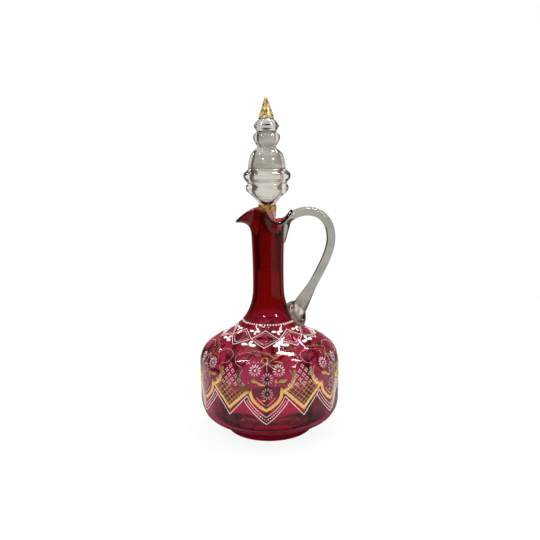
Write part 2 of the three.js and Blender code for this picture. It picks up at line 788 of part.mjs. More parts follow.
function beadRingGeometry() {
  const height = shoulderEnd + BEAD_RING_RISE;
  const middle = overGlass(FRONT, height, PAINT_GAP + 0.5 * ENAMEL_LINE_WIDTH);
  const radius = Math.hypot(middle.x, middle.y) + LOBE_DEPTH / 2;
  const section = shares(6).map((share) => [
    radius + 0.5 * ENAMEL_LINE_WIDTH * Math.cos(share * TURN),
    middle.z + 0.5 * ENAMEL_LINE_WIDTH * Math.sin(share * TURN),
  ]);
  const whole = toSolid(turned(section, BAND_SIDES));
  return fromSolid(largest(whole.subtract(handlePad(2 * PAINT_GAP))));
}

function makePart(name, geometry, look) {
  const shown = geometry.index ? geometry.toNonIndexed() : geometry;
  shown.computeVertexNormals();
  const mesh = new THREE.Mesh(shown, new THREE.MeshStandardMaterial(look));
  mesh.name = name;
  return mesh;
}

const RUBY_GLASS = { color: 0x8c1028, roughness: 0.08, metalness: 0, transparent: true, opacity: 0.75 };
const CLEAR_GLASS = { color: 0xc9c8bd, roughness: 0.05, metalness: 0, transparent: true, opacity: 0.4 };
const GILDING = { color: 0xd9a13a, roughness: 0.3, metalness: 1 };
const WHITE_ENAMEL = { color: 0xf4ece6, roughness: 0.45, metalness: 0 };

const decanter = new THREE.Group();
decanter.add(
  makePart("foot", footGeometry(), { ...RUBY_GLASS, color: 0x6e0a1c }),
  makePart("ruby_body", vesselGeometry(), RUBY_GLASS),
  makePart("handle", handleGeometry(), CLEAR_GLASS),
  makePart("stopper", stopperGeometry(), CLEAR_GLASS),
  makePart("stopper_gilt_tip", giltTipGeometry(), GILDING),
  makePart("stopper_gilt_collar", giltCollarGeometry(), GILDING),
  makePart("gilt_panel_border", giltBorderGeometry(), GILDING),
  makePart("enamel_point_border", enamelBorderGeometry(), WHITE_ENAMEL),
  makePart("enamel_diamond_chain", diamondChainGeometry(), WHITE_ENAMEL),
  makePart("enamel_bead_ring", beadRingGeometry(), WHITE_ENAMEL),
);

export default decanter;
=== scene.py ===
import bisect
import math

import bmesh
import bpy
from mathutils import Matrix, Vector, noise


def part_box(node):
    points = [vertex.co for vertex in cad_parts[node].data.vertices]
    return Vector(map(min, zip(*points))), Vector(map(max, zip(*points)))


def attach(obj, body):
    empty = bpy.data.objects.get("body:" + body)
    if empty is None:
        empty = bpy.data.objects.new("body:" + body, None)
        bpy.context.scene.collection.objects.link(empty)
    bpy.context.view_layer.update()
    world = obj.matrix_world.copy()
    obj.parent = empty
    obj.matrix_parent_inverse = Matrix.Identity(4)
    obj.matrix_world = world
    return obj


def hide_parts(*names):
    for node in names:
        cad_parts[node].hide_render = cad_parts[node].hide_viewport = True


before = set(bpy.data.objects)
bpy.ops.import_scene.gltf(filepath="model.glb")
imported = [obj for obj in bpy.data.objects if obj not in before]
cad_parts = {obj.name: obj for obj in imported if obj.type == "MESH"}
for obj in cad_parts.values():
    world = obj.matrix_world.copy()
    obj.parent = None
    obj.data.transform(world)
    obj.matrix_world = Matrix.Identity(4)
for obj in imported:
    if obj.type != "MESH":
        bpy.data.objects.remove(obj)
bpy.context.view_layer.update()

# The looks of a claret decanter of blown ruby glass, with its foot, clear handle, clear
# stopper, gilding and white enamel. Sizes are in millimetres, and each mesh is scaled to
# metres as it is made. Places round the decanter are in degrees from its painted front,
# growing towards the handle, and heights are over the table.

MM = 0.001


def size_of(node):
    """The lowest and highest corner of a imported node, in millimetres."""
    low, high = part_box(node)
    return low / MM, high / MM


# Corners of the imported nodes, which give the heights and reaches below
foot_high = size_of("foot")[1]
body_low, body_high = size_of("ruby_body")
stopper_low = size_of("stopper")[0]
tip_high = size_of("stopper_gilt_tip")[1]

FOOT_RADIUS = foot_high.x
FOOT_HEIGHT = foot_high.z
FOOT_EDGE = 1.4
FOOT_RIM_WIDTH = 6
FOOT_HOLLOW_DEPTH = 1.6

# Body, from its base upwards
BODY_START = body_low.z
BELLY_RADIUS = body_high.x
BASE_RADIUS = 37.6
BASE_EDGE = 0.6
UNDERSIDE_HEIGHT = 24.5
BELLY_HEIGHT = 27
SHOULDER_HEIGHT = 22.3
SHOULDER_RADIUS = 46
SLOPE_HEIGHT = 42.7
NECK_LOW_RADIUS = 13.1
NECK_WAIST_NARROWING = 0.4
NECK_LENGTH = 44
NECK_TOP_RADIUS = 13.6
LOBE_COUNT = 10
LOBE_DEPTH = 0.9
INNER_LOBE_DEPTH = 0.4
CREASE_SOFTNESS = 0.012
CREASE_SHARPNESS = 1.6

BODY_WALL = 2.4
BOTTOM_WALL = 8
NECK_WALL = 3.5
LIP_WALL = 2.2

# Lip, each value at the handle, a side lobe, a pinch and the spout, which are a third of the
# half turn apart
HANDLE_PLACE = 90
RIM_SPAN = 60
RIM_REACH = (20.8, 19.5, 14.6, 25.6)
RIM_RISE = (21, 12, 23.2, 12.2)
RIM_CURL = (0.72, 0.72, 0.72, 1.05)
SPOUT_BEAK = 1.35

# Stopper
PLUG_RADIUS = 9.8
PLUG_TAPER = 0.9
PLUG_END = stopper_low.z
STEM_RADIUS = 7
STEM_HEIGHT = 22
COLLAR_HEIGHT = 5.6
RIDGE_RADIUS = 17.7
RIDGE_HEIGHT = 12.9
GROOVE_DEPTH = 1.4
RING_RADIUS = 19.5
RING_HEIGHT = 10.4
DOME_RADIUS = 15.3
DOME_HEIGHT = 23
WAIST_RADIUS = 7.6
KNOP_RADIUS = 11
KNOP_HEIGHT = 12.4
UPPER_GROOVE_RADIUS = 8
TOP_RING_RADIUS = 10.2
TOP_RING_HEIGHT = 9.8
SPIRE_RADIUS = 6.2
SPIRE_TIP_RADIUS = 0.5
STOPPER_WALL = 3
DOME_BORE = 11.8
KNOP_BORE = 6.7
NECKED_BORE = 1.6
PLUG_WALL = 1.7

# Handle
HANDLE_REACH = 52.7
HANDLE_BEND_DROP = 1
HANDLE_CROWN_RISE = 12.6
HANDLE_ROOT_SINK = 1.5
HANDLE_THICKNESS = 7.4
HANDLE_WIDTH = 9
HANDLE_PAD_RISE = 17.7
HANDLE_PAD_RADIUS = 10.5
HANDLE_PAD_HEIGHT = 28
HANDLE_PAD_WIDTH = 15
HANDLE_TAIL_LENGTH = 19
HANDLE_TAIL_THICKNESS = 3.2
HANDLE_GRAIN = 0.55
JOIN_GAP = 0.05

# Gilding and enamel
PANEL_COUNT = 6
PANEL_TURN = 360 / PANEL_COUNT
DIAMOND_COUNT = 9
DIAMOND_TURN = -3
BEAD_COUNT = 60
BEAD_HEIGHT = 95.6
BEAD_SIZE = (1.2, 1.75, 0.5)
PAINT_SINK = 0.03
GILT_SKIN = 0.55

# How high the paint lies on the glass
GILT_RELIEF = 0.3
LATTICE_RELIEF = 0.12
LEAF_RELIEF = 0.22
BOW_RELIEF = 0.2
ENAMEL_RELIEF = 0.3
STEM_RELIEF = 0.16
TREFOIL_RELIEF = 0.42
PETAL_RELIEF = 0.3
DAISY_MIDDLE_RELIEF = 0.5

# A stroke of the brush: its section, across and up, its unevenness, and how much at most a
# corner is widened
STROKE_SECTION = ((-1, 0), (-0.72, 0.75), (0, 1), (0.72, 0.75), (1, 0))
STROKE_SWELL = 0.09
STROKE_WAVES = 0.35
WIDEST_CORNER = 1.9

# A leaf: the share of its outline that its top covers, and the top's height at its edge
# against that in its middle
LEAF_TOP = 0.86
LEAF_EDGE = 0.85

# A dot: its unevenness, and its height against its width
DOT_SWELL = 0.14
DOT_RISE = 0.4

# How far paint stays off the handle's pad
PAINT_CLEARANCE = 1
LINE_CLEARANCE = 1.1

# How far the inner and outer faces of the stopper's gilding lie off its glass
TIP_GILT_LIFT = (0.08, 0.45)
COLLAR_GILT_LIFT = (0.26, 0.5)

# How wide the lines are
GILT_BAND = 2.7
LATTICE_LINE = 0.34
TWIG_LINE = 0.4
RIBBON_LINE = 1.3
SCROLL_LINE = 0.6
CURL_LINE = 0.4
CURL_SPACING = 1.9
CHEVRON_OUTER_LINE = 0.42
CHEVRON_INNER_LINE = 0.36
CHEVRON_LATTICE_LINE = 0.5
DIAMOND_LINE = 0.48
TICK_LINE = 0.17
TICK_SPACING = 0.95
STEM_LINE = 0.32
LOBE_LINE = 0.36

# Rows of dots, each with its spacing and the width of a dot
LOW_DOTS = (1.95, 1.0)
HIGH_DOTS = (1.6, 0.72)
INSIDE_DOTS = (1.25, 0.6)
CROWN_DOTS = (1.25, 0.5)
TOP_DOTS = (1.4, 0.42)

# Heights in the glass, each stacked on the one below
belly_start = BODY_START + UNDERSIDE_HEIGHT
belly_end = belly_start + BELLY_HEIGHT
shoulder_end = belly_end + SHOULDER_HEIGHT
slope_end = shoulder_end + SLOPE_HEIGHT
neck_end = slope_end + NECK_LENGTH
collar_start = neck_end + STEM_HEIGHT
cone_start = collar_start + COLLAR_HEIGHT
ridge_z = cone_start + RIDGE_HEIGHT
ring_z = ridge_z + RING_HEIGHT
groove_z = ridge_z + 0.44 * RING_HEIGHT
waist_z = ring_z + DOME_HEIGHT
knop_z = waist_z + 0.6 * KNOP_HEIGHT
upper_groove_z = waist_z + KNOP_HEIGHT
top_ring_z = upper_groove_z + 0.5 * TOP_RING_HEIGHT
spire_z = upper_groove_z + TOP_RING_HEIGHT
tip_z = tip_high.z

# How finely the round pieces are divided, and each curve of the body from its base up
OUTER_STEPS = (22, 12, 18, 26, 14)
BODY_SIDES = 240
STOPPER_SIDES = 96
LIP_STEPS = 16


def blend(a, b, share):
    return a + (b - a) * share


def smoothstep(value, low, high):
    share = min(max((value - low) / (high - low), 0), 1)
    return share * share * (3 - 2 * share)


class Bend:
    """One cubic curve in the plane of radius and height."""

    def __init__(self, *pulls):
        self.pulls = [Vector(pull) for pull in pulls]

    def at(self, share):
        a, b, c, d = self.pulls
        rest = 1 - share
        near = a * rest**3 + b * (3 * rest**2 * share)
        return near + c * (3 * rest * share**2) + d * share**3

    def along(self, share):
        a, b, c, d = self.pulls
        rest = 1 - share
        slope = (b - a) * rest**2 + (c - b) * (2 * rest * share) + (d - c) * share**2
        return slope.normalized()

    def outward(self, share):
        along = self.along(share)
        return Vector((along.y, -along.x))

    def offset(self, share, distance):
        return self.at(share) + self.outward(share) * distance

    def share_at_height(self, z):
        low, high = 0, 1
        for _ in range(40):
            middle = (low + high) / 2
            if self.at(middle).y < z:
                low = middle
            else:
                high = middle
        return (low + high) / 2


def chain(start, *bends):
    """Curves that follow on from each other, each given by the three points after its start."""
    for points in bends:
        yield Bend(start, *points)
        start = points[-1]


# From the base up: underside, belly, shoulder, slope and neck
body_curves = tuple(chain(
    (BASE_RADIUS, BODY_START + BASE_EDGE),
    (
        (blend(BASE_RADIUS, BELLY_RADIUS, 0.56), BODY_START + 0.22 * UNDERSIDE_HEIGHT),
        (blend(BASE_RADIUS, BELLY_RADIUS, 1.01), BODY_START + 0.3 * UNDERSIDE_HEIGHT),
        (BELLY_RADIUS - 0.1, belly_start),
    ),
    (
        (BELLY_RADIUS - 0.1, belly_start + 0.35 * BELLY_HEIGHT),
        (BELLY_RADIUS, belly_start + 0.7 * BELLY_HEIGHT),
        (BELLY_RADIUS, belly_end),
    ),
    (
        (BELLY_RADIUS, belly_end + 0.54 * SHOULDER_HEIGHT),
        (blend(SHOULDER_RADIUS, BELLY_RADIUS, 0.74), belly_end + 0.75 * SHOULDER_HEIGHT),
        (SHOULDER_RADIUS, shoulder_end),
    ),
    (
        (blend(SHOULDER_RADIUS, NECK_LOW_RADIUS, 0.52), shoulder_end + 0.2 * SLOPE_HEIGHT),
        (NECK_LOW_RADIUS + 0.9, shoulder_end + 0.41 * SLOPE_HEIGHT),
        (NECK_LOW_RADIUS, slope_end),
    ),
    (
        (NECK_LOW_RADIUS - NECK_WAIST_NARROWING, slope_end + 0.34 * NECK_LENGTH),
        (NECK_TOP_RADIUS - 1.5 * NECK_WAIST_NARROWING, slope_end + 0.66 * NECK_LENGTH),
        (NECK_TOP_RADIUS, neck_end),
    ),
))
underside, belly, shoulder, slope = body_curves[:4]

# The body's outer line at many close heights, for setting paint on it
LINE_STEPS = 80
body_line = [
    (curve.at(step / LINE_STEPS), curve.outward(step / LINE_STEPS))
    for curve in body_curves
    for step in range(LINE_STEPS)
]
line_heights = [point.y for point, _ in body_line]


def crease(degrees):
    """1 in the crease between two lobes of the body, falling to 0 at the lobe's middle."""
    swell = math.sin(math.radians(degrees * LOBE_COUNT / 2))
    return max(1 - math.sqrt(swell ** 2 + CREASE_SOFTNESS), 0) ** CREASE_SHARPNESS


def lobe_fade(z):
    """How far the body has its lobes at a height, from 0 at its base and neck to 1."""
    fade_in = smoothstep(z, BODY_START, belly_start)
    return fade_in * (1 - smoothstep(z, belly_end, slope_end))


def on_round(degrees, radius, z):
    angle = math.radians(degrees)
    return Vector((radius * math.sin(angle), -radius * math.cos(angle), z))


def on_glass(degrees, z, lift=0):
    """A point over the body's outer face, a distance off the glass."""
    index = min(max(bisect.bisect(line_heights, z) - 1, 0), len(body_line) - 2)
    share = (z - line_heights[index]) / (line_heights[index + 1] - line_heights[index])
    point = body_line[index][0].lerp(body_line[index + 1][0], share)
    normal = body_line[index][1].lerp(body_line[index + 1][1], share)
    radius = point.x + normal.x * lift - LOBE_DEPTH * crease(degrees) * lobe_fade(z)
    return on_round(degrees, radius, point.y + normal.y * lift)


def around_rim(values, degrees, beak=1):
    """A value of the lip, which is given at four places and mirrored on the other side.
    A beak over 1 keeps it near the pinch's value for longer on the way to the spout."""
    place = abs((degrees - HANDLE_PLACE + 180) % 360 - 180) / RIM_SPAN
    start = min(int(place), 2)
    share = (1 - math.cos(math.pi * (place - start))) / 2
    if start == 2:
        share = share ** beak
    return blend(values[start], values[start + 1], share)


def lip_curve(degrees):
    reach = around_rim(RIM_REACH, degrees)
    rise = around_rim(RIM_RISE, degrees, SPOUT_BEAK)
    curl = around_rim(RIM_CURL, degrees)
    return Bend(
        (NECK_TOP_RADIUS, neck_end),
        (NECK_TOP_RADIUS + 0.1, neck_end + 0.55 * curl * rise),
        (blend(NECK_TOP_RADIUS, reach, 0.15), neck_end + curl * rise),
        (reach, neck_end + rise),
    )


# Meshes

def add_object(name, data):
    made = bpy.data.objects.new(name, data)
    bpy.context.scene.collection.objects.link(made)
    return made


def make_mesh(name, skin, look, sharp_over=None):
    """A new piece from a skin, which is its points in millimetres and the corners of its
    faces. It is shaded smooth but for edges over an angle."""
    points, faces = skin
    mesh = bpy.data.meshes.new(name)
    mesh.from_pydata([Vector(point) * MM for point in points], [], faces)
    mesh.materials.append(look)
    mesh.validate()
    mesh.shade_smooth()
    if sharp_over:
        mesh.set_sharp_from_angle(angle=math.radians(sharp_over))
    return add_object(name, mesh)


def finished(piece):
    """The piece with its modifiers worked into its mesh."""
    graph = bpy.context.evaluated_depsgraph_get()
    mesh = bpy.data.meshes.new_from_object(piece.evaluated_get(graph), depsgraph=graph)
    piece.modifiers.clear()
    piece.data = mesh
    return piece


def closed_rings(first, rings, last):
    """A skin through rings, with a point closing each end."""
    sides = len(rings[0])
    points = [first] + [point for ring in rings for point in ring] + [last]
    faces = []
    for side in range(sides):
        step = (side + 1) % sides
        faces.append((0, 1 + step, 1 + side))
        for ring in range(len(rings) - 1):
            a = 1 + ring * sides
            faces.append((a + side, a + step, a + sides + step, a + sides + side))
        top = 1 + (len(rings) - 1) * sides
        faces.append((top + side, top + step, len(points) - 1))
    return points, faces


def looped_rings(rings):
    """A skin through rings, the last joined to the first."""
    sides = len(rings[0])
    points = [point for ring in rings for point in ring]
    faces = []
    for ring in range(len(rings)):
        here = ring * sides
        there = (ring + 1) % len(rings) * sides
        for side in range(sides):
            step = (side + 1) % sides
            faces.append((here + side, here + step, there + step, there + side))
    return points, faces


def joined(*skins):
    """One skin from several."""
    points, faces = [], []
    for some_points, some_faces in skins:
        faces += [tuple(corner + len(points) for corner in face) for face in some_faces]
        points += some_points
    return points, faces


def ring(sides, point_at):
    """Points all round, by a function of their place in degrees."""
    return [point_at(side * 360 / sides) for side in range(sides)]


def turned_ring(sides, radius, z):
    return ring(sides, lambda degrees: on_round(degrees, radius, z))


def smooth_line(points, steps=24):
    """Points along a smooth line that passes through the given ones."""
    spots = [Vector(point) for point in points]
    spans = len(spots) - 1
    line = []
    for step in range(steps + 1):
        place = step / steps * spans
        span = min(int(place), spans - 1)
        t = place - span
        before = spots[max(span - 1, 0)]
        a, b = spots[span], spots[span + 1]
        after = spots[min(span + 2, spans)]
        pull_a, pull_b = (b - before) / 2, (after - a) / 2
        line.append(
            a * (2 * t**3 - 3 * t**2 + 1) + pull_a * (t**3 - 2 * t**2 + t)
            + b * (3 * t**2 - 2 * t**3) + pull_b * (t**3 - t**2)
        )
    return line


def shares(steps):
    return [step / steps for step in range(steps + 1)]


# Finishes

class Value:
    """A number that flows through a finish. Sums and products of it add Math nodes."""

    def __init__(self, finish, socket):
        self.finish = finish
        self.socket = socket

    def reckon(self, operation, *numbers):
        settings = {"operation": operation}
        return self.finish.node("ShaderNodeMath", settings, dict(enumerate(numbers)))

    def __add__(self, other):
        return self.reckon("ADD", self, other)

    def __sub__(self, other):
        return self.reckon("SUBTRACT", self, other)

    def __rsub__(self, other):
        return self.reckon("SUBTRACT", other, self)

    def __mul__(self, other):
        return self.reckon("MULTIPLY", self, other)

    __radd__ = __add__
    __rmul__ = __mul__

    def between(self, low, high, to_low=0, to_high=1):
        """The value spread from one range to another, smoothly and held at its ends."""
        inputs = {
            "Value": self,
            "From Min": low,
            "From Max": high,
            "To Min": to_low,
            "To Max": to_high,
        }
        settings = {"interpolation_type": "SMOOTHSTEP"}
        return self.finish.node("ShaderNodeMapRange", settings, inputs)


class Finish:
    """A material under construction, or another owner of shader nodes, such as the world."""

    def __init__(self, name, owner=None):
        self.material = owner or bpy.data.materials.new(name)
        self.material.use_nodes = True
        self.tree = self.material.node_tree
        self.tree.nodes.clear()

    def node(self, kind, settings=None, inputs=None, output=0):
        made = self.tree.nodes.new(kind)
        for name, setting in (settings or {}).items():
            setattr(made, name, setting)
        for name, value in (inputs or {}).items():
            socket = made.inputs[name]
            if isinstance(value, Value):
                self.tree.links.new(value.socket, socket)
            else:
                socket.default_value = (*value, 1) if socket.type == "RGBA" else value
        return Value(self, made.outputs[output]) if made.outputs else None

    def place(self):
        return self.node("ShaderNodeTexCoord", output="Object")

    def along(self, axis):
        """The place along one axis, in metres."""
        return self.node("ShaderNodeSeparateXYZ", inputs={0: self.place()}, output=axis)

    def height(self):
        return self.along("Z")

    def rise(self, start, end, to_low=0, to_high=1):
        """0 at one height in metres and 1 at another, and smooth between them."""
        return self.height().between(start, end, to_low, to_high)

    def attribute(self, name):
        """A number that the piece's mesh holds at its points."""
        return self.node("ShaderNodeAttribute", {"attribute_name": name}, output="Fac")

    def reach(self):
        """Distance from the upright middle line."""
        settings = {"operation": "MULTIPLY"}
        flat = self.node("ShaderNodeVectorMath", settings, {0: self.place(), 1: (1, 1, 0)})
        return self.node("ShaderNodeVectorMath", {"operation": "LENGTH"}, {0: flat}, "Value")

    def noise(self, scale, detail=2, stretch=(1, 1, 1)):
        """Cloudy variation around 0.5. Scale is in features per metre."""
        place = self.node("ShaderNodeMapping", inputs={"Vector": self.place(), "Scale": stretch})
        inputs = {"Vector": place, "Scale": scale, "Detail": detail}
        return self.node("ShaderNodeTexNoise", inputs=inputs)

    def mix(self, share, first, second, how="MIX"):
        """A mix of two colours, which are sockets 6 and 7 of the Mix node, and its output 2."""
        settings = {"data_type": "RGBA", "blend_type": how}
        return self.node("ShaderNodeMix", settings, {0: share, 6: first, 7: second}, 2)

    def bump(self, value, height, strength=1):
        inputs = {"Height": value, "Distance": height * MM, "Strength": strength}
        return self.node("ShaderNodeBump", inputs=inputs)

    def shader(self, depth=None, **inputs):
        """The material, ended. Depth is the colour and density of tinted solid glass."""
        named = {name.replace("_", " "): value for name, value in inputs.items()}
        ends = {"Surface": self.node("ShaderNodeBsdfPrincipled", inputs=named)}
        if depth:
            ends["Volume"] = self.node("ShaderNodeVolumeAbsorption", inputs=dict(enumerate(depth)))
        return self.end(**ends)

    def end(self, **ends):
        self.node("ShaderNodeOutputMaterial", inputs=ends)
        return self.material

    def glow(self, shade):
        """The material, ended as a card of the stage that shines in its own colour."""
        inputs = {"Color": shade, "Strength": 1.0}
        return self.end(Surface=self.node("ShaderNodeEmission", inputs=inputs))


# Colours as the renderer takes them, red, green and blue from 0 to 1
RUBY_BASE = (1.0, 0.36, 0.56)
# Painted shade: the glass darkened at the base's edge, low down by the table
RUBY_BASE_EDGE_SHADE = (0.20, 0.025, 0.035)
RUBY_BELLY = (0.57, 0.19, 0.31)
RUBY_SHOULDER = (0.56, 0.08, 0.15)
RUBY_NECK = (0.16, 0.0004, 0.0015)
RUBY_NECK_INSIDE = (0.95, 0.50, 0.60)
RUBY_LIP = (0.09, 0.0008, 0.002)
# Painted shade in the creases between the lobes, and the share of crease over which it comes in
RUBY_CREASE_SHADE = (0.36, 0.15, 0.20)
CREASE_SHADE_BAND = (0.48, 0.80)
RUBY_DEPTH = (0.92, 0.42, 0.54)
RUBY_DENSITY = 60
RUBY_FOOT = (0.38, 0.010, 0.020)
RUBY_FOOT_CLOUD = (0.26, 0.006, 0.012)
RUBY_FOOT_THIN = (1.0, 0.45, 0.66)
HANDLE_TINT = (0.40, 0.385, 0.335)
# Painted reflection of the ruby body and painted highlight, over the handle's pad
PAD_PAINTED_RUBY_REFLECTION = (0.13, 0.075, 0.055)
PAD_PAINTED_HIGHLIGHT = (0.80, 0.70, 0.64)
STOPPER_TINT = (0.72, 0.71, 0.65)
# Painted light: the stopper's cone and ring lightened
CONE_PAINTED_LIGHT = (0.80, 0.79, 0.74)
# Painted ruby light caught in the stopper's stem
STEM_PAINTED_RUBY_LIGHT = (0.60, 0.38, 0.37)
PLUG_TINT = (0.95, 0.93, 0.9)
GLASS_IOR = 1.5

# The gilding, where it is thick and where it is worn, and darker copies as painted reflections
BRIGHT_GILT = ((1.0, 0.66, 0.24), (0.72, 0.42, 0.13))
# Darker copies of the gilding, painted reflections of a dark room
OLIVE_REFLECTION_GILT = ((0.56, 0.38, 0.08), (0.34, 0.21, 0.05))
DARK_REFLECTION_GILT = ((0.22, 0.14, 0.03), (0.14, 0.085, 0.02))
BROWN_REFLECTION_GILT = ((0.30, 0.15, 0.06), (0.15, 0.06, 0.03))
COLLAR_GILT = ((0.88, 0.50, 0.13), (0.28, 0.12, 0.03))
SPIRE_GILT = ((0.92, 0.72, 0.30), (0.24, 0.14, 0.05))

# The enamel, where it is full and where it is thin over the ruby
WHITE = ((0.87, 0.79, 0.76), (0.77, 0.67, 0.64))
ROSE_WHITE = ((0.68, 0.56, 0.55), (0.44, 0.31, 0.32))
ROSE_GREY = ((0.44, 0.29, 0.30), (0.27, 0.15, 0.17))

# Heights in metres between which one look turns into the next
BASE_TO_BELLY = (0.014, 0.036)
BELLY_TO_SHOULDER = (0.060, 0.080)
SHOULDER_TO_CASING = (0.080, 0.108)
NECK_TO_LIP = (0.168, 0.184)
PAD_TOP = 0.116
DARK_REFLECTION_ARM_RISE = (0.0495, 0.0535)
BRIGHT_TO_OLIVE = (0.055, 0.063)
OLIVE_TO_BROWN = (0.069, 0.072)
GREY_TO_WHITE = (0.063, 0.070)
COLLAR_TO_SPIRE = (0.21, 0.24)

# The sides of the arm of the gilt line, left of the front, that is darkened by a painted reflection
DARK_REFLECTION_ARM_RIGHT = (-0.010, -0.0125)
DARK_REFLECTION_ARM_LEFT = (-0.029, -0.025)

# Distances from the middle line in metres, at the base's edge, in the foot and in the plug
BASE_SHADE_REACH = (0.034, 0.036)
BASE_SHADE_RISE = (0.016, 0.010)
FOOT_THIN_REACH = (0.036, 0.033)
GROUND_REACH = (0.0078, 0.0084)


def ruby_glass():
    """Gold ruby: pink in the thin belly, and cased with a deep red skin over the neck."""
    finish = Finish("ruby_glass")
    height = finish.height()
    cloud = finish.noise(26, 2, (1, 1, 0.35))
    drawn = height + (cloud - 0.5) * 0.02
    shade = finish.mix(drawn.between(*BASE_TO_BELLY), RUBY_BASE, RUBY_BELLY)
    shade = finish.mix(drawn.between(*BELLY_TO_SHOULDER), shade, RUBY_SHOULDER)
    casing = finish.mix(drawn.between(*NECK_TO_LIP), RUBY_NECK, RUBY_LIP)
    casing = finish.mix(finish.attribute("outer_skin"), RUBY_NECK_INSIDE, casing)
    shade = finish.mix(drawn.between(*SHOULDER_TO_CASING), shade, casing)
    # Painted shade darkens the glass in the creases between the lobes
    crease_shade = finish.attribute("crease_shade").between(*CREASE_SHADE_BAND)
    shade = finish.mix(crease_shade, shade, RUBY_CREASE_SHADE, "MULTIPLY")
    # Painted shade darkens the glass at the base's edge, low down by the table
    rim = finish.reach().between(*BASE_SHADE_REACH) * height.between(*BASE_SHADE_RISE)
    shade = finish.mix(rim, shade, RUBY_BASE_EDGE_SHADE)
    wave = finish.noise(34, 1, (1, 1, 0.45))
    return finish.shader(
        (RUBY_DEPTH, RUBY_DENSITY),
        Base_Color=shade,
        Roughness=cloud * 0.02,
        IOR=GLASS_IOR,
        Specular_Tint=(0.85, 0.82, 0.78),
        Transmission_Weight=1,
        Normal=finish.bump(wave, 0.3, 0.4),
    )


def foot_glass():
    """The foot is a thick gather of the same ruby, pressed on hot and a little marked."""
    finish = Finish("foot_glass")
    cloud = finish.noise(60, 3)
    shade = finish.mix(cloud, RUBY_FOOT, RUBY_FOOT_CLOUD)
    shade = finish.mix(finish.reach().between(*FOOT_THIN_REACH), shade, RUBY_FOOT_THIN)
    return finish.shader(
        Base_Color=shade,
        Roughness=cloud * 0.03,
        IOR=GLASS_IOR,
        Specular_Tint=(0.15, 0.12, 0.12),
        Transmission_Weight=0.8,
        Normal=finish.bump(finish.noise(120, 1), 0.15, 0.5),
    )


def clear_glass(name, tint, thick_share):
    """The start of a clear glass with a grey cast: its finish, its cords, which are the
    streaks of uneven glass, its shade and its dents."""
    finish = Finish(name)
    cord = finish.noise(80, 3, (0.5, 0.5, 1.3)).between(0.38, 0.62)
    shade = finish.mix(cord, tint, [thick_share * part for part in tint])
    return finish, cord, shade, finish.noise(110, 1) * 0.18


def clear_shader(finish, shade, roughness, dents):
    return finish.shader(
        Base_Color=shade,
        Roughness=roughness,
        IOR=GLASS_IOR,
        Transmission_Weight=1,
        Normal=finish.bump(dents, 1, 0.6),
    )


def handle_glass():
    """The handle's glass, dented where its pad was pressed on the shoulder. Over the pad, dark
    brown streaks are a painted reflection of the ruby body, and near white ones are painted
    highlights.
    """
    finish, cord, shade, dents = clear_glass("clear_handle_glass", HANDLE_TINT, 0.84)
    pressed = finish.rise(PAD_TOP, PAD_TOP - 0.012)
    dents = dents + pressed * finish.noise(90, 2, (1, 1, 0.6)) * 1.6
    # Over the pad, painted reflections: dark brown for the ruby body, near white for highlights
    pad_reflection_patches = finish.noise(130, 2, (1, 1, 0.5)).between(0.56, 0.66)
    marked = finish.mix(pad_reflection_patches, PAD_PAINTED_RUBY_REFLECTION, PAD_PAINTED_HIGHLIGHT)
    shade = finish.mix(pressed * 0.8, shade, marked)
    return clear_shader(finish, shade, cord * 0.015, dents)


def stopper_glass():
    """The stopper's glass. The plug is ground. The stem's rose tint is painted ruby light, and the
    cone and ring are lightened with painted light.
    """
    finish, cord, shade, dents = clear_glass("clear_stopper_glass", STOPPER_TINT, 0.70)
    ground = finish.rise((neck_end - 1) * MM, (neck_end - 3) * MM)
    ground = ground * finish.rise(PLUG_END * MM, (neck_end - 8) * MM, 0.25, 1)
    ground = ground * finish.reach().between(*GROUND_REACH)
    # Painted light lightens the cone and ring
    cone_light = finish.rise((cone_start + 2) * MM, (cone_start + 8) * MM)
    cone_light = cone_light * finish.rise((ring_z + 4) * MM, ring_z * MM)
    shade = finish.mix(cone_light, shade, CONE_PAINTED_LIGHT)
    # The stem's rose tint is painted ruby light
    shade = finish.mix(finish.rise(collar_start * MM, (collar_start + 4) * MM), STEM_PAINTED_RUBY_LIGHT, shade)
    shade = finish.mix(finish.rise(neck_end * MM, (neck_end + 6) * MM), PLUG_TINT, shade)
    return clear_shader(finish, shade, cord * 0.015 + ground * 0.3, dents)


def gilding():
    """Burnished gold, brushed on by hand and worn thin in places. Painted reflections of a dark
    room make it olive higher up, brown on the bows and dark on one arm left of the front.
    """
    finish = Finish("gilding")
    worn = finish.noise(420, 4).between(0.52, 0.72)
    bright, olive, dark_reflection, brown = (
        finish.mix(worn, *gilt) for gilt in (BRIGHT_GILT, OLIVE_REFLECTION_GILT, DARK_REFLECTION_GILT, BROWN_REFLECTION_GILT)
    )
    aside = finish.along("X")
    arm = aside.between(*DARK_REFLECTION_ARM_RIGHT) * aside.between(*DARK_REFLECTION_ARM_LEFT)
    # Painted reflections of a dark room: olive higher up, dark on one arm and brown on the bows
    shade = finish.mix(finish.rise(*BRIGHT_TO_OLIVE), bright, olive)
    shade = finish.mix(arm * finish.rise(*DARK_REFLECTION_ARM_RISE), shade, dark_reflection)
    shade = finish.mix(finish.rise(*OLIVE_TO_BROWN), shade, brown)
    return finish.shader(
        Base_Color=shade,
        Metallic=0.7,
        Roughness=worn * 0.12 + 0.26,
        Normal=finish.bump(finish.noise(900, 3), 0.05, 0.5),
    )


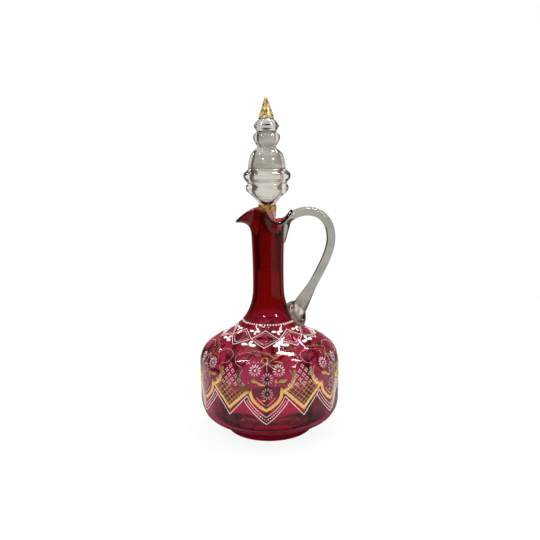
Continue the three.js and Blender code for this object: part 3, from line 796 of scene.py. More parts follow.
def worn_gilding():
    """Gilding rubbed by hands on the stopper: brown and thin between brighter patches."""
    finish = Finish("worn_gilding")
    patch = finish.noise(330, 4).between(0.44, 0.60)
    collar = finish.mix(patch, *COLLAR_GILT)
    spire = finish.mix(patch, *SPIRE_GILT)
    return finish.shader(
        Base_Color=finish.mix(finish.rise(*COLLAR_TO_SPIRE), collar, spire),
        Metallic=0.55,
        Roughness=patch * 0.2 + 0.2,
        Normal=finish.bump(finish.noise(260, 2), 0.5, 0.9),
    )


def white_enamel():
    """Fired white enamel: opaque, a little uneven and half glossy."""
    finish = Finish("white_enamel")
    grain = finish.noise(1500, 3)
    return finish.shader(
        Base_Color=finish.mix(grain, *WHITE),
        Roughness=grain * 0.2 + 0.3,
        Normal=finish.bump(grain, 0.03, 0.6),
    )


def thin_enamel():
    """The enamel of the flowers is thin, so the ruby dulls it to a rose grey, greyer lower down."""
    finish = Finish("thin_enamel")
    grain = finish.noise(700, 3)
    low = finish.mix(grain, *ROSE_GREY)
    high = finish.mix(grain, *ROSE_WHITE)
    return finish.shader(
        Base_Color=finish.mix(finish.rise(*GREY_TO_WHITE), low, high),
        Roughness=grain * 0.2 + 0.35,
        Normal=finish.bump(grain, 0.03, 0.6),
    )


RUBY = ruby_glass()
FOOT = foot_glass()
HANDLE_GLASS = handle_glass()
STOPPER_GLASS = stopper_glass()
GOLD = gilding()
WORN_GOLD = worn_gilding()
ENAMEL = white_enamel()
THIN_ENAMEL = thin_enamel()


# The glass pieces

def press_foot():
    hollow = FOOT_RADIUS - FOOT_RIM_WIDTH
    edge = [
        (FOOT_RADIUS - FOOT_EDGE * (1 - math.sin(turn)), FOOT_EDGE * (1 - math.cos(turn)))
        for turn in (math.radians(15 * step) for step in range(7))
    ]
    top = [(radius, FOOT_HEIGHT - z) for radius, z in reversed(edge)]
    outline = [
        (hollow * 0.4, FOOT_HOLLOW_DEPTH * 0.9),
        (hollow * 0.75, FOOT_HOLLOW_DEPTH * 0.6),
        (hollow * 0.94, FOOT_HOLLOW_DEPTH * 0.15),
        (hollow, 0),
        *edge,
        *top,
        (hollow * 0.5, FOOT_HEIGHT),
    ]
    rings = [turned_ring(BODY_SIDES, radius, z) for radius, z in outline]
    skin = closed_rings((0, 0, FOOT_HOLLOW_DEPTH), rings, (0, 0, FOOT_HEIGHT))
    return make_mesh("ruby_foot", skin, FOOT, sharp_over=50)


def lobed_ring(point, depth):
    """A ring of the body through a point of its outline, pressed in at its creases."""
    return ring(BODY_SIDES, lambda degrees: on_round(
        degrees, point.x - depth * crease(degrees), point.y,
    ))


def outer_rings(distance):
    rings = []
    for curve, steps in zip(body_curves, OUTER_STEPS):
        for share in shares(steps)[1 if rings else 0:]:
            depth = LOBE_DEPTH * lobe_fade(curve.at(share).y)
            rings.append(lobed_ring(curve.offset(share, distance), depth))
    return rings


def lip_ring(share, distance, lift=0):
    def point_at(degrees):
        curve = lip_curve(degrees)
        point = curve.offset(share, distance) + curve.along(share) * lift
        return on_round(degrees, point.x, point.y)
    return ring(BODY_SIDES, point_at)


def inner_rings():
    """The inside of the body, from the lip down the bore to the middle of its bottom."""
    rings = []
    for share in reversed(shares(LIP_STEPS)[1:]):
        wall = blend(NECK_WALL, LIP_WALL, smoothstep(share, 0, 0.3))
        rings.append(lip_ring(share, -wall))
    seat = NECK_TOP_RADIUS - NECK_WALL
    for share in shares(8):
        bore_z = blend(neck_end, PLUG_END, share)
        rings.append(turned_ring(BODY_SIDES, seat - PLUG_TAPER * share, bore_z))
    floor = BODY_START + BOTTOM_WALL
    for curve, steps in ((slope, 24), (shoulder, 16), (belly, 10), (underside, 20)):
        for share in reversed(shares(steps) if curve is slope else shares(steps)[:-1]):
            wall = blend(BODY_WALL, NECK_WALL, share) if curve is slope else BODY_WALL
            point = curve.offset(share, -wall)
            if point.y < floor + BODY_WALL:
                break
            last = point
            rings.append(lobed_ring(point, INNER_LOBE_DEPTH * lobe_fade(point.y)))
    edge = underside.at(underside.share_at_height(floor)).x - 2 * BODY_WALL
    corner = Bend(
        last,
        (blend(edge, last.x, 0.75), blend(floor, last.y, 0.4)),
        (blend(edge, last.x, 0.45), floor),
        (edge, floor),
    )
    for share in shares(7)[1:]:
        point = corner.at(share)
        rings.append(turned_ring(BODY_SIDES, point.x, point.y))
    for share in (0.7, 0.35):
        rings.append(turned_ring(BODY_SIDES, edge * share, floor))
    return rings


def blow_body():
    base = turned_ring(BODY_SIDES, BASE_RADIUS - BASE_EDGE, BODY_START)
    lip = [lip_ring(share, 0) for share in shares(LIP_STEPS)[1:]]
    rim = []
    for step in range(1, 8):
        turn = math.pi * step / 8
        inward = -LIP_WALL / 2 * (1 - math.cos(turn))
        rim.append(lip_ring(1, inward, 0.4 * LIP_WALL * math.sin(turn)))
    inner = inner_rings()
    rings = [base, *outer_rings(0), *lip, *rim, *inner]
    bottom = (0, 0, BODY_START + BOTTOM_WALL)
    skin = closed_rings((0, 0, BODY_START), rings, bottom)
    body = make_mesh("blown_ruby_body", skin, RUBY, sharp_over=60)
    outer_points = 1 + BODY_SIDES * (len(rings) - len(inner) - len(rim) // 2)
    outer = body.data.attributes.new("outer_skin", "FLOAT", "POINT")
    # Each point's share of the painted shade in the creases
    crease_shade = body.data.attributes.new("crease_shade", "FLOAT", "POINT")
    for index, (x, y, z) in enumerate(skin[0]):
        outer.data[index].value = index < outer_points
        crease_shade.data[index].value = crease(math.degrees(math.atan2(x, -y))) * lobe_fade(z)
    return body


def body_envelope(gap):
    """The space that the body fills, filled solid, for trimming the handle to it."""
    base = turned_ring(BODY_SIDES, BASE_RADIUS, BODY_START - gap)
    lip = [lip_ring(share, gap) for share in shares(LIP_STEPS)[1:]]
    over = lip_ring(1, gap, LIP_WALL / 2 + gap)
    closing = lip_ring(1, -LIP_WALL - gap, LIP_WALL / 2 + gap)
    rings = [base, *outer_rings(gap), *lip, over, closing]
    skin = closed_rings((0, 0, BODY_START - gap), rings, (0, 0, neck_end))
    return make_mesh("envelope", skin, HANDLE_GLASS)


def oval_rod(line_at, size_at, steps, sides):
    """A rod in the plane of the handle, oval in section. Two functions of the share along it
    give its middle and direction, and its thickness and width."""
    def section(share):
        middle, along = line_at(share)
        thickness, width = size_at(share)

        def point(degrees):
            turn = math.radians(degrees)
            out = math.cos(turn) * thickness / 2
            return middle.x + along.y * out, math.sin(turn) * width / 2, middle.y - along.x * out
        return ring(sides, point)

    rings = [section(share) for share in shares(steps)]
    first, last = line_at(0)[0], line_at(1)[0]
    return closed_rings((first.x, 0, first.y), rings, (last.x, 0, last.y))


pad_z = shoulder_end + HANDLE_PAD_RISE
pad_x = slope.at(slope.share_at_height(pad_z)).x
pad_centre = Vector((pad_x, 0, pad_z))


def under_pad(point, clearance):
    """Whether a point on the body is covered by the handle's pad."""
    away = point - pad_centre
    reach = Vector((
        away.x / (HANDLE_PAD_RADIUS + clearance),
        away.y / (0.5 * HANDLE_PAD_WIDTH + clearance),
        away.z / (0.5 * HANDLE_PAD_HEIGHT + clearance),
    ))
    return reach.length < 1


def handle_pad():
    half = 0.5 * HANDLE_PAD_HEIGHT

    def level(turn):
        out = HANDLE_PAD_RADIUS * math.sin(turn)
        wide = 0.5 * HANDLE_PAD_WIDTH * math.sin(turn)
        return ring(48, lambda degrees: (
            pad_x + out * math.cos(math.radians(degrees)),
            wide * math.sin(math.radians(degrees)),
            pad_z - half * math.cos(turn),
        ))

    rings = [level(math.pi * step / 24) for step in range(1, 24)]
    return closed_rings((pad_x, 0, pad_z - half), rings, (pad_x, 0, pad_z + half))


def draw_handle():
    """The strap, its tail and its pad, melted into one and trimmed to the body."""
    top = lip_curve(HANDLE_PLACE).at(0.6)
    outermost = Vector((HANDLE_REACH, neck_end - HANDLE_BEND_DROP))
    foot = Vector((pad_x + 0.3 * HANDLE_PAD_RADIUS, pad_z + 0.45 * HANDLE_PAD_RADIUS))
    crown = top.y + HANDLE_CROWN_RISE
    upper, lower = chain(
        (top.x - HANDLE_ROOT_SINK, top.y - HANDLE_ROOT_SINK),
        ((blend(top.x, HANDLE_REACH, 0.24), crown), (HANDLE_REACH, crown), outermost),
        (
            (HANDLE_REACH, blend(outermost.y, foot.y, 0.26)),
            (blend(HANDLE_REACH, foot.x, 0.58), blend(outermost.y, foot.y, 0.63)),
            foot,
        ),
    )
    tail_start = Vector((top.x - 0.5 * HANDLE_ROOT_SINK, top.y))
    tail_end = Vector((NECK_TOP_RADIUS - 0.5 * HANDLE_ROOT_SINK, top.y - HANDLE_TAIL_LENGTH))

    def strap_line(share):
        bend, share = (upper, 2 * share) if share < 0.5 else (lower, 2 * share - 1)
        return bend.at(share), bend.along(share)

    def strap_size(share):
        spread = smoothstep(share, 0.8, 1)
        thickness = blend(HANDLE_THICKNESS, 1.25 * HANDLE_PAD_RADIUS, spread)
        return thickness, blend(HANDLE_WIDTH, 0.9 * HANDLE_PAD_WIDTH, spread)

    def tail_line(share):
        return tail_start.lerp(tail_end, share), (tail_end - tail_start).normalized()

    def tail_size(share):
        thickness = blend(1.3 * HANDLE_THICKNESS, HANDLE_TAIL_THICKNESS, share)
        return thickness, blend(HANDLE_WIDTH, HANDLE_TAIL_THICKNESS, share)

    strap = oval_rod(strap_line, strap_size, 90, 32)
    tail = oval_rod(tail_line, tail_size, 20, 24)
    handle = make_mesh("drawn_handle", joined(strap, tail, handle_pad()), HANDLE_GLASS)
    grain = handle.modifiers.new("fuse", "REMESH")
    grain.mode = "VOXEL"
    grain.voxel_size = HANDLE_GRAIN * MM
    soften = handle.modifiers.new("soften", "SMOOTH")
    soften.factor = 0.5
    soften.iterations = 14
    envelope = body_envelope(JOIN_GAP)
    trim = handle.modifiers.new("trim", "BOOLEAN")
    trim.operation = "DIFFERENCE"
    trim.solver = "EXACT"
    trim.object = envelope
    finished(handle)
    bpy.data.objects.remove(envelope)
    keep_largest(handle)
    handle.data.shade_smooth()
    handle.data.set_sharp_from_angle(angle=math.radians(50))
    return handle


def keep_largest(piece):
    """Drops the loose scraps that trimming leaves, all but the largest connected skin."""
    mesh = bmesh.new()
    mesh.from_mesh(piece.data)
    loose = set(mesh.verts)
    skins = []
    while loose:
        front = {loose.pop()}
        skin = set(front)
        while front:
            near = {edge.other_vert(vert) for vert in front for edge in vert.link_edges}
            front = near & loose
            loose -= front
            skin |= front
        skins.append(skin)
    largest = max(skins, key=len)
    scraps = [vert for vert in mesh.verts if vert not in largest]
    bmesh.ops.delete(mesh, geom=scraps, context="VERTS")
    mesh.to_mesh(piece.data)
    mesh.free()


def turn_stopper():
    bore = STEM_RADIUS - STOPPER_WALL
    outside = smooth_line([
        (STEM_RADIUS, collar_start),
        (STEM_RADIUS, cone_start - 1.2),
        (STEM_RADIUS + 0.9, cone_start + 1.3),
        (blend(STEM_RADIUS, RIDGE_RADIUS, 0.33), blend(cone_start, ridge_z, 0.37)),
        (blend(STEM_RADIUS, RIDGE_RADIUS, 0.8), blend(cone_start, ridge_z, 0.74)),
        (RIDGE_RADIUS - 0.4, ridge_z - 1.3),
        (RIDGE_RADIUS, ridge_z),
        (RIDGE_RADIUS - 0.2, ridge_z + 1.6),
        (RIDGE_RADIUS - GROOVE_DEPTH, groove_z),
        (RING_RADIUS - 1.7, groove_z + 2),
        (RING_RADIUS - 0.5, ring_z - 2.2),
        (RING_RADIUS, ring_z),
        (RING_RADIUS - 0.5, ring_z + 1.9),
        (RING_RADIUS - 2.6, ring_z + 3.8),
        (DOME_RADIUS + 0.1, ring_z + 5.8),
        (DOME_RADIUS - 0.1, ring_z + 0.38 * DOME_HEIGHT),
        (DOME_RADIUS - 0.8, ring_z + 0.57 * DOME_HEIGHT),
        (blend(WAIST_RADIUS, DOME_RADIUS, 0.66), ring_z + 0.77 * DOME_HEIGHT),
        (blend(WAIST_RADIUS, DOME_RADIUS, 0.34), ring_z + 0.885 * DOME_HEIGHT),
        (WAIST_RADIUS, waist_z),
        (blend(WAIST_RADIUS, KNOP_RADIUS, 0.32), waist_z + 0.2 * KNOP_HEIGHT),
        (blend(WAIST_RADIUS, KNOP_RADIUS, 0.76), waist_z + 0.4 * KNOP_HEIGHT),
        (KNOP_RADIUS, knop_z),
        (KNOP_RADIUS - 0.4, waist_z + 0.78 * KNOP_HEIGHT),
        (UPPER_GROOVE_RADIUS + 0.9, upper_groove_z - 1),
        (UPPER_GROOVE_RADIUS, upper_groove_z),
        (TOP_RING_RADIUS - 0.9, top_ring_z - 2.4),
        (TOP_RING_RADIUS, top_ring_z - 0.4),
        (TOP_RING_RADIUS - 1.1, top_ring_z + 1.7),
        (SPIRE_RADIUS + 1.5, top_ring_z + 3.6),
        (SPIRE_RADIUS, spire_z),
    ], 240)
    inside = smooth_line([
        (bore, cone_start - 4.5),
        (NECKED_BORE, cone_start - 1.5),
        (NECKED_BORE + 0.6, cone_start + 0.5),
        (blend(bore, DOME_BORE, 0.42), blend(cone_start, ridge_z, 0.5)),
        (blend(bore, DOME_BORE, 0.86), ridge_z),
        (DOME_BORE - 0.7, groove_z),
        (DOME_BORE, ring_z),
        (DOME_BORE, ring_z + 0.38 * DOME_HEIGHT),
        (DOME_BORE - 1.3, ring_z + 0.6 * DOME_HEIGHT),
        (blend(KNOP_BORE, DOME_BORE, 0.4), ring_z + 0.8 * DOME_HEIGHT),
        (WAIST_RADIUS - 2.6, waist_z),
        (KNOP_BORE - 0.5, waist_z + 0.35 * KNOP_HEIGHT),
        (KNOP_BORE, knop_z),
        (KNOP_BORE - 1.1, upper_groove_z - 0.8),
        (KNOP_BORE - 2, top_ring_z - 2.2),
        (KNOP_BORE - 3.6, top_ring_z - 0.6),
    ], 120)
    spire = [
        (blend(SPIRE_RADIUS, SPIRE_TIP_RADIUS, share), blend(spire_z, tip_z - 2 * GILT_SKIN, share))
        for share in shares(10)[1:]
    ]
    plug_bore = PLUG_RADIUS - PLUG_TAPER - PLUG_WALL
    plug = [
        (plug_bore, PLUG_END + 0.5),
        (plug_bore + 0.5, PLUG_END),
        (PLUG_RADIUS - PLUG_TAPER - 0.6, PLUG_END),
        (PLUG_RADIUS - PLUG_TAPER, PLUG_END + 0.6),
    ]
    stem = smooth_line([
        (PLUG_RADIUS, neck_end),
        (blend(STEM_RADIUS, PLUG_RADIUS, 0.25), neck_end + 0.25 * STEM_HEIGHT),
        (STEM_RADIUS, neck_end + 0.6 * STEM_HEIGHT),
        (STEM_RADIUS, collar_start),
    ], 20)
    bore_line = smooth_line([
        (bore, cone_start - 4.5),
        (STEM_RADIUS - PLUG_WALL, neck_end + 0.5 * STEM_HEIGHT),
        (PLUG_RADIUS - PLUG_WALL, neck_end),
        (plug_bore, PLUG_END + 0.5),
    ], 24)[1:-1]
    side = [
        (PLUG_RADIUS - PLUG_TAPER * (1 - share), blend(PLUG_END + 0.6, neck_end, share))
        for share in shares(8)[1:-1]
    ]
    outline = [*reversed(inside), *bore_line, *plug, *side, *stem[:-1], *outside, *spire]
    rings = [turned_ring(STOPPER_SIDES, radius, z) for radius, z in outline]
    skin = closed_rings((0, 0, top_ring_z - 0.2), rings, (0, 0, tip_z - 1.6 * GILT_SKIN))
    return make_mesh("turned_stopper", skin, STOPPER_GLASS, sharp_over=45)


def wavy(degrees, seed, amount):
    """A small unevenness round a hand-painted edge."""
    return amount * noise.noise(on_round(degrees, 1.6, seed))


def gild_tip():
    length = tip_z - spire_z

    def radius_at(z):
        return blend(SPIRE_RADIUS, SPIRE_TIP_RADIUS, (z - spire_z) / length)

    def level(share, lift):
        def point_at(degrees):
            start = spire_z + 0.05 * length + wavy(degrees, seed=3.3, amount=0.7) * (1 - share)
            z = blend(start, tip_z - 1.2 * GILT_SKIN, share)
            return on_round(degrees, radius_at(z) + lift, z)
        return ring(STOPPER_SIDES, point_at)

    inner = [level(share, TIP_GILT_LIFT[0]) for share in reversed(shares(12))]
    outer = [level(share, TIP_GILT_LIFT[1]) for share in shares(12)]
    skin = closed_rings((0, 0, tip_z - 1.1 * GILT_SKIN), [*inner, *outer], (0, 0, tip_z - 0.1))
    return make_mesh("stopper_tip_gilding", skin, WORN_GOLD, sharp_over=60)


def gild_collar():
    def section(degrees):
        low = collar_start + 0.2 + wavy(degrees, seed=7.1, amount=0.5)
        high = cone_start - 0.5 + wavy(degrees, seed=9.7, amount=0.6)
        middle = blend(low, high, 0.5)
        inner, outer = (STEM_RADIUS + lift for lift in COLLAR_GILT_LIFT)
        line = [
            (inner, low), (outer, low + 0.1), (outer, middle),
            (outer, high - 0.1), (inner, high), (inner, middle),
        ]
        return [on_round(degrees, radius, z) for radius, z in line]

    skin = looped_rings(ring(STOPPER_SIDES, section))
    return make_mesh("stopper_collar_gilding", skin, WORN_GOLD, sharp_over=60)


# Painted lines

class Brushwork:
    """Painted lines of one finish, gathered into one piece."""

    def __init__(self, thickness):
        self.thickness = thickness
        self.skins = []

    def stroke(self, line, width, closed=False, taper=0, smooth=0):
        """A raised line through [degrees, height] points, rounded over like wet paint."""
        if smooth:
            line = smooth_line(line, smooth)
        for run in clear_runs(line, closed):
            self.lay(run, width, closed and len(run) == len(line), taper)

    def strokes(self, lines, width, **manner):
        for line in lines:
            self.stroke(line, width, **manner)

    def lay(self, line, width, closed, taper):
        """One stroke. Where it turns, its corner is widened to keep its width even."""
        places = [on_glass(*spot) for spot in line]
        count = len(places)
        rings = []
        for index, (degrees, z) in enumerate(line):
            before = places[(index - 1) % count if closed else max(index - 1, 0)]
            after = places[(index + 1) % count if closed else min(index + 1, count - 1)]
            here = places[index]
            off = (on_glass(degrees, z, 1) - here).normalized()
            onward, arriving = after - here, here - before
            onward = onward.normalized() if onward.length > 1e-6 else arriving.normalized()
            arriving = arriving.normalized() if arriving.length > 1e-6 else onward
            along = (onward + arriving).normalized()
            mitre = min(1 / max(along.dot(onward), 0.1), WIDEST_CORNER)
            across = off.cross(along).normalized()
            share = index / (count - 1)
            swell = 1 + STROKE_SWELL * noise.noise(here * STROKE_WAVES)
            narrow = 1 - taper * abs(2 * share - 1) ** 2
            half = width / 2 * mitre * swell * narrow
            rise = self.thickness * narrow
            rings.append([
                here + across * (half * side) + off * (rise * lift - PAINT_SINK)
                for side, lift in STROKE_SECTION
            ])
        if closed:
            self.skins.append(looped_rings(rings))
        else:
            first, last = (sum(end, Vector()) / len(end) for end in (rings[0], rings[-1]))
            self.skins.append(closed_rings(first, rings, last))

    def patch(self, outline, smooth=0):
        """A filled leaf or petal through [degrees, height] points round its edge."""
        if smooth:
            outline = smooth_line([*outline, outline[0]], smooth)[:-1]
        middle = sum((Vector(spot) for spot in outline), Vector((0, 0))) / len(outline)
        if under_pad(on_glass(*middle), PAINT_CLEARANCE):
            return
        inward = [middle.lerp(Vector(spot), LEAF_TOP) for spot in outline]
        low = [on_glass(*spot, -PAINT_SINK) for spot in outline]
        high = [on_glass(*spot, self.thickness * LEAF_EDGE) for spot in inward]
        first, last = on_glass(*middle, -PAINT_SINK), on_glass(*middle, self.thickness)
        self.skins.append(closed_rings(first, [low, high], last))

    def piece(self, name, look):
        """One piece of all strokes, each turned right side out whichever way it was laid."""
        piece = make_mesh(name, joined(*self.skins), look, sharp_over=70)
        mesh = bmesh.new()
        mesh.from_mesh(piece.data)
        bmesh.ops.recalc_face_normals(mesh, faces=mesh.faces)
        mesh.to_mesh(piece.data)
        mesh.free()
        return piece


def clear_runs(line, closed):
    """The stretches of a line that the handle's pad leaves bare."""
    covered = [under_pad(on_glass(*spot), LINE_CLEARANCE) for spot in line]
    if not any(covered):
        return [line]
    if closed:
        start = covered.index(True)
        line = [*line[start:], *line[:start]]
        covered = [*covered[start:], *covered[:start]]
    runs = [[]]
    for spot, hidden in zip(line, covered):
        if hidden:
            runs.append([])
        else:
            runs[-1].append(spot)
    return [run for run in runs if len(run) > 1]


def spaced(line, spacing):
    """Places along a line of [degrees, height] points, about a spacing apart on the glass."""
    places = [on_glass(*spot) for spot in line]
    lengths = [0]
    for before, after in zip(places, places[1:]):
        lengths.append(lengths[-1] + (after - before).length)
    count = max(round(lengths[-1] / spacing), 1)
    spots = []
    for step in range(count + 1):
        wanted = lengths[-1] * step / count
        index = min(max(bisect.bisect(lengths, wanted) - 1, 0), len(line) - 2)
        span = lengths[index + 1] - lengths[index]
        share = (wanted - lengths[index]) / span if span else 0
        spots.append(Vector(line[index]).lerp(Vector(line[index + 1]), share))
    return spots


def copies(line, count, start, mirror):
    """Copies of a line evenly round the body, and of its mirror image if asked."""
    for copy in range(count):
        turn = start + copy * 360 / count
        yield [(degrees + turn, z) for degrees, z in line]
        if mirror:
            yield [(turn - degrees, z) for degrees, z in line]


def at_panels(line, mirror=False):
    return copies(line, PANEL_COUNT, 0, mirror)


def at_diamonds(line, mirror=False):
    return copies(line, DIAMOND_COUNT, DIAMOND_TURN, mirror)


def over_lattice(line):
    """The mirror image of a line over the middle of the lattice between two panels."""
    return [(PANEL_TURN - degrees, z) for degrees, z in line]


# Marks: dots, beads and petals, each a small drop of enamel set on the glass

class Marks:
    """Places of dots and petals, turned into one piece by a node tree."""

    def __init__(self):
        self.places = []
        self.sizes = []
        self.turns = []

    def drop(self, degrees, z, length, width, height, lean=0):
        """A drop of paint, its length leaning from level by an angle in degrees."""
        here = on_glass(degrees, z)
        if under_pad(here, PAINT_CLEARANCE):
            return
        off = (on_glass(degrees, z, 1) - here).normalized()
        level = Vector((math.cos(math.radians(degrees)), math.sin(math.radians(degrees)), 0))
        up = off.cross(level).normalized()
        turn = math.radians(lean)
        along = level * math.cos(turn) + up * math.sin(turn)
        across = off.cross(along)
        self.places.append(here)
        self.sizes.append(Vector((length / 2, width / 2, height)) * MM)
        self.turns.append(Matrix((along, across, off)).transposed().to_euler())

    def petal(self, degrees, z, right, up, length, width, height, lean):
        """A drop at an offset on the glass from a flower's middle, in millimetres."""
        here = on_glass(degrees, z)
        climb = (on_glass(degrees, z + 0.1) - here).length / 0.1
        turn = math.degrees(right / math.hypot(here.x, here.y))
        self.drop(degrees + turn, z + up / climb, length, width, height, lean)

    def dot(self, degrees, z, across, height=None):
        swell = 1 + DOT_SWELL * noise.noise(Vector((degrees * 0.9, z * 1.3, 4.7)))
        self.drop(degrees, z, across * swell, across * swell, height or DOT_RISE * across)

    def rows(self, lines, spacing, across):
        for line in lines:
            for degrees, z in spaced(line, spacing):
                self.dot(degrees, z, across)

    def piece(self, name, look, **sizes):
        mesh = bpy.data.meshes.new(name)
        mesh.from_pydata([place * MM for place in self.places], [], [])
        for attribute, values in (("mark_size", self.sizes), ("mark_turn", self.turns)):
            layer = mesh.attributes.new(attribute, "FLOAT_VECTOR", "POINT")
            layer.data.foreach_set("vector", [number for value in values for number in value])
        piece = add_object(name, mesh)
        setting = piece.modifiers.new("set the marks", "NODES")
        setting.node_group = MARKS
        inputs = {
            item.name: item.identifier
            for item in MARKS.interface.items_tree
            if item.item_type == "SOCKET" and item.in_out == "INPUT"
        }
        setting[inputs["Look"]] = look
        for kind, size in sizes.items():
            setting[inputs[kind]] = size
        return finished(piece)


def marks_tree():
    """Sets a small rounded drop at every point, by the point's own size and turn."""
    tree = bpy.data.node_groups.new("marks_on_glass", "GeometryNodeTree")
    tree.interface.new_socket("Places", in_out="INPUT", socket_type="NodeSocketGeometry")
    sizes = (
        ("Sides", "NodeSocketInt", 8),
        ("Levels", "NodeSocketInt", 5),
        ("Taper", "NodeSocketFloat", 0),
    )
    for name, kind, default in sizes:
        tree.interface.new_socket(name, in_out="INPUT", socket_type=kind).default_value = default
    tree.interface.new_socket("Look", in_out="INPUT", socket_type="NodeSocketMaterial")
    tree.interface.new_socket("Marks", in_out="OUTPUT", socket_type="NodeSocketGeometry")

    def add(kind, *first, settings=None, **inputs):
        """A node with the values or links of its sockets, the first ones by order."""
        node = tree.nodes.new(kind)
        for name, setting in (settings or {}).items():
            setattr(node, name, setting)
        named = {name.replace("_", " "): value for name, value in inputs.items()}
        for name, value in (dict(enumerate(first)) | named).items():
            if isinstance(value, bpy.types.NodeSocket):
                tree.links.new(value, node.inputs[name])
            else:
                node.inputs[name].default_value = value
        return node

    def reckon(operation, *numbers):
        return add("ShaderNodeMath", *numbers, settings={"operation": operation}).outputs[0]

    given = add("NodeGroupInput").outputs
    ball = add("GeometryNodeMeshUVSphere", given["Sides"], given["Levels"], 1.0)
    apart = add("ShaderNodeSeparateXYZ", add("GeometryNodeInputPosition").outputs[0]).outputs
    narrow = reckon("ADD", reckon("MULTIPLY", apart["X"], given["Taper"]), 1.0)
    across = reckon("MULTIPLY", apart["Y"], narrow)
    drop = add("ShaderNodeCombineXYZ", apart["X"], across, apart["Z"]).outputs[0]
    shaped = add("GeometryNodeSetPosition", Geometry=ball.outputs[0], Position=drop).outputs[0]
    vector = {"data_type": "FLOAT_VECTOR"}
    size, turn = (
        add("GeometryNodeInputNamedAttribute", name, settings=vector).outputs[0]
        for name in ("mark_size", "mark_turn")
    )
    marks = add(
        "GeometryNodeInstanceOnPoints",
        Points=given["Places"],
        Instance=shaped,
        Rotation=add("FunctionNodeEulerToRotation", turn).outputs[0],
        Scale=size,
    ).outputs[0]
    solid = add("GeometryNodeRealizeInstances", marks).outputs[0]
    smooth = add("GeometryNodeSetShadeSmooth", solid).outputs[0]
    looked = add("GeometryNodeSetMaterial", smooth, Material=given["Look"]).outputs[0]
    add("NodeGroupOutput", looked)
    return tree


MARKS = marks_tree()

# The painted panel: half of its gilt line, from its point up to its side lobe. All lines of
# the paint are in degrees and heights, with the middle of their panel or diamond at 0 degrees.
panel_side = [(0, 36.2), (3.5, 38.4), (7.1, 41.6), (10.1, 45.1), (11.7, 49), (12.2, 53.2)]
panel_arm = [
    (11.7, 51.9), (14.4, 52.8), (17.2, 54.3), (19.8, 56.9),
    (21.4, 60.2), (22.3, 64.2), (22.2, 68.2),
]
lattice_side = [(12.2, 53.2), (16, 50.2), (22.6, 43.6), (30, 36.1)]
chevron_outer = [(17.4, 44.7), (15.5, 41.2), (13.4, 38.2), (8.3, 32.3), (4.2, 28.1), (0, 24.6)]
chevron_inner = [(14.5, 47.9), (12.3, 43.2), (8.6, 38.2), (5, 34.6), (0, 30.4)]
chevron_lattice = [(14.5, 47.9), (17.4, 44.7), (23, 38.2), (30, 30.1)]


def gild_panels():
    gilt = Brushwork(GILT_RELIEF)
    side = smooth_line(panel_side, 26)
    lattice = smooth_line(lattice_side, 18)
    mirrored_side = [(-degrees, z) for degrees, z in reversed(side)]
    mirrored_lattice = over_lattice(reversed(lattice))
    round_line = []
    for copy in range(PANEL_COUNT):
        for line in (mirrored_side, side, lattice, mirrored_lattice):
            round_line += [(degrees + copy * PANEL_TURN, z) for degrees, z in line[:-1]]
    gilt.stroke(round_line, GILT_BAND, closed=True)
    gilt.strokes(at_panels(smooth_line(panel_arm, 26), mirror=True), GILT_BAND)
    return gilt.piece("panel_gilding", GOLD)


LATTICE_LINES = 7
LATTICE_TOP = 57.8
LATTICE_INSET = 0.03


def gild_lattice():
    """Fine crossed lines that fill the point between two panels."""
    gilt = Brushwork(LATTICE_RELIEF)
    base = Vector(lattice_side[-1])
    left = Vector(lattice_side[0]) - base
    right = Vector((-left.x, left.y))
    for step in range(1, LATTICE_LINES + 1):
        start = base + left * (step / (LATTICE_LINES + 0.5))
        length = min((LATTICE_TOP - start.y) / right.y, 1)
        line = [start + right * blend(LATTICE_INSET, length, share) for share in shares(10)]
        gilt.strokes(at_panels(line), LATTICE_LINE)
        gilt.strokes(at_panels(over_lattice(line)), LATTICE_LINE)
    return gilt.piece("lattice_gilding", GOLD)


leaves = [
    [(-13.2, 61.9), (-9.6, 62.3), (-4.9, 59.4), (-9.6, 59)],
    [(-6.9, 58.5), (-3.6, 58.7), (-0.5, 56.7), (-4, 56.6)],
    [(8.9, 59.5), (11.4, 61.7), (16.4, 61.4), (13.4, 59.1)],
    [(6.4, 60.4), (7.5, 61.9), (8.6, 60.4), (7.5, 58.9)],
    [(-2.9, 44.4), (-1.6, 45.2), (-0.3, 44.3), (-1.7, 43.5)],
]
twigs = [
    [(-2.8, 57.8), (-6.4, 59.2), (-9.6, 60.6)],
    [(7.3, 59), (7.2, 57.2), (6.6, 55.7)],
    [(7.4, 58.6), (9.6, 59.4), (12.4, 60.4)],
]


def gild_leaves():
    gilt = Brushwork(LEAF_RELIEF)
    for leaf in leaves:
        for copy in at_panels(leaf):
            gilt.patch(copy, 16)
    for twig in twigs:
        gilt.strokes(at_panels(twig), TWIG_LINE, smooth=8, taper=0.6)
    return gilt.piece("leaf_gilding", GOLD)


bow_ribbons = [
    [(-0.6, 72.7), (3.1, 74.3), (6.9, 76), (11.5, 77.6), (19.4, 78.7)],
    [(-0.6, 72.8), (-3.6, 74.1), (-3.4, 76), (-0.8, 76.5), (1.4, 75.2), (-0.6, 72.8)],
    [(-0.6, 72.8), (4.6, 72.1), (10, 71.8), (13.6, 72.5), (11.4, 73.9), (6.4, 74.3)],
]
bow_scroll = [(-17.3, 79.7), (-12, 80), (-7.4, 79.5), (-2, 79.2), (2, 78.5), (6.4, 76.6)]


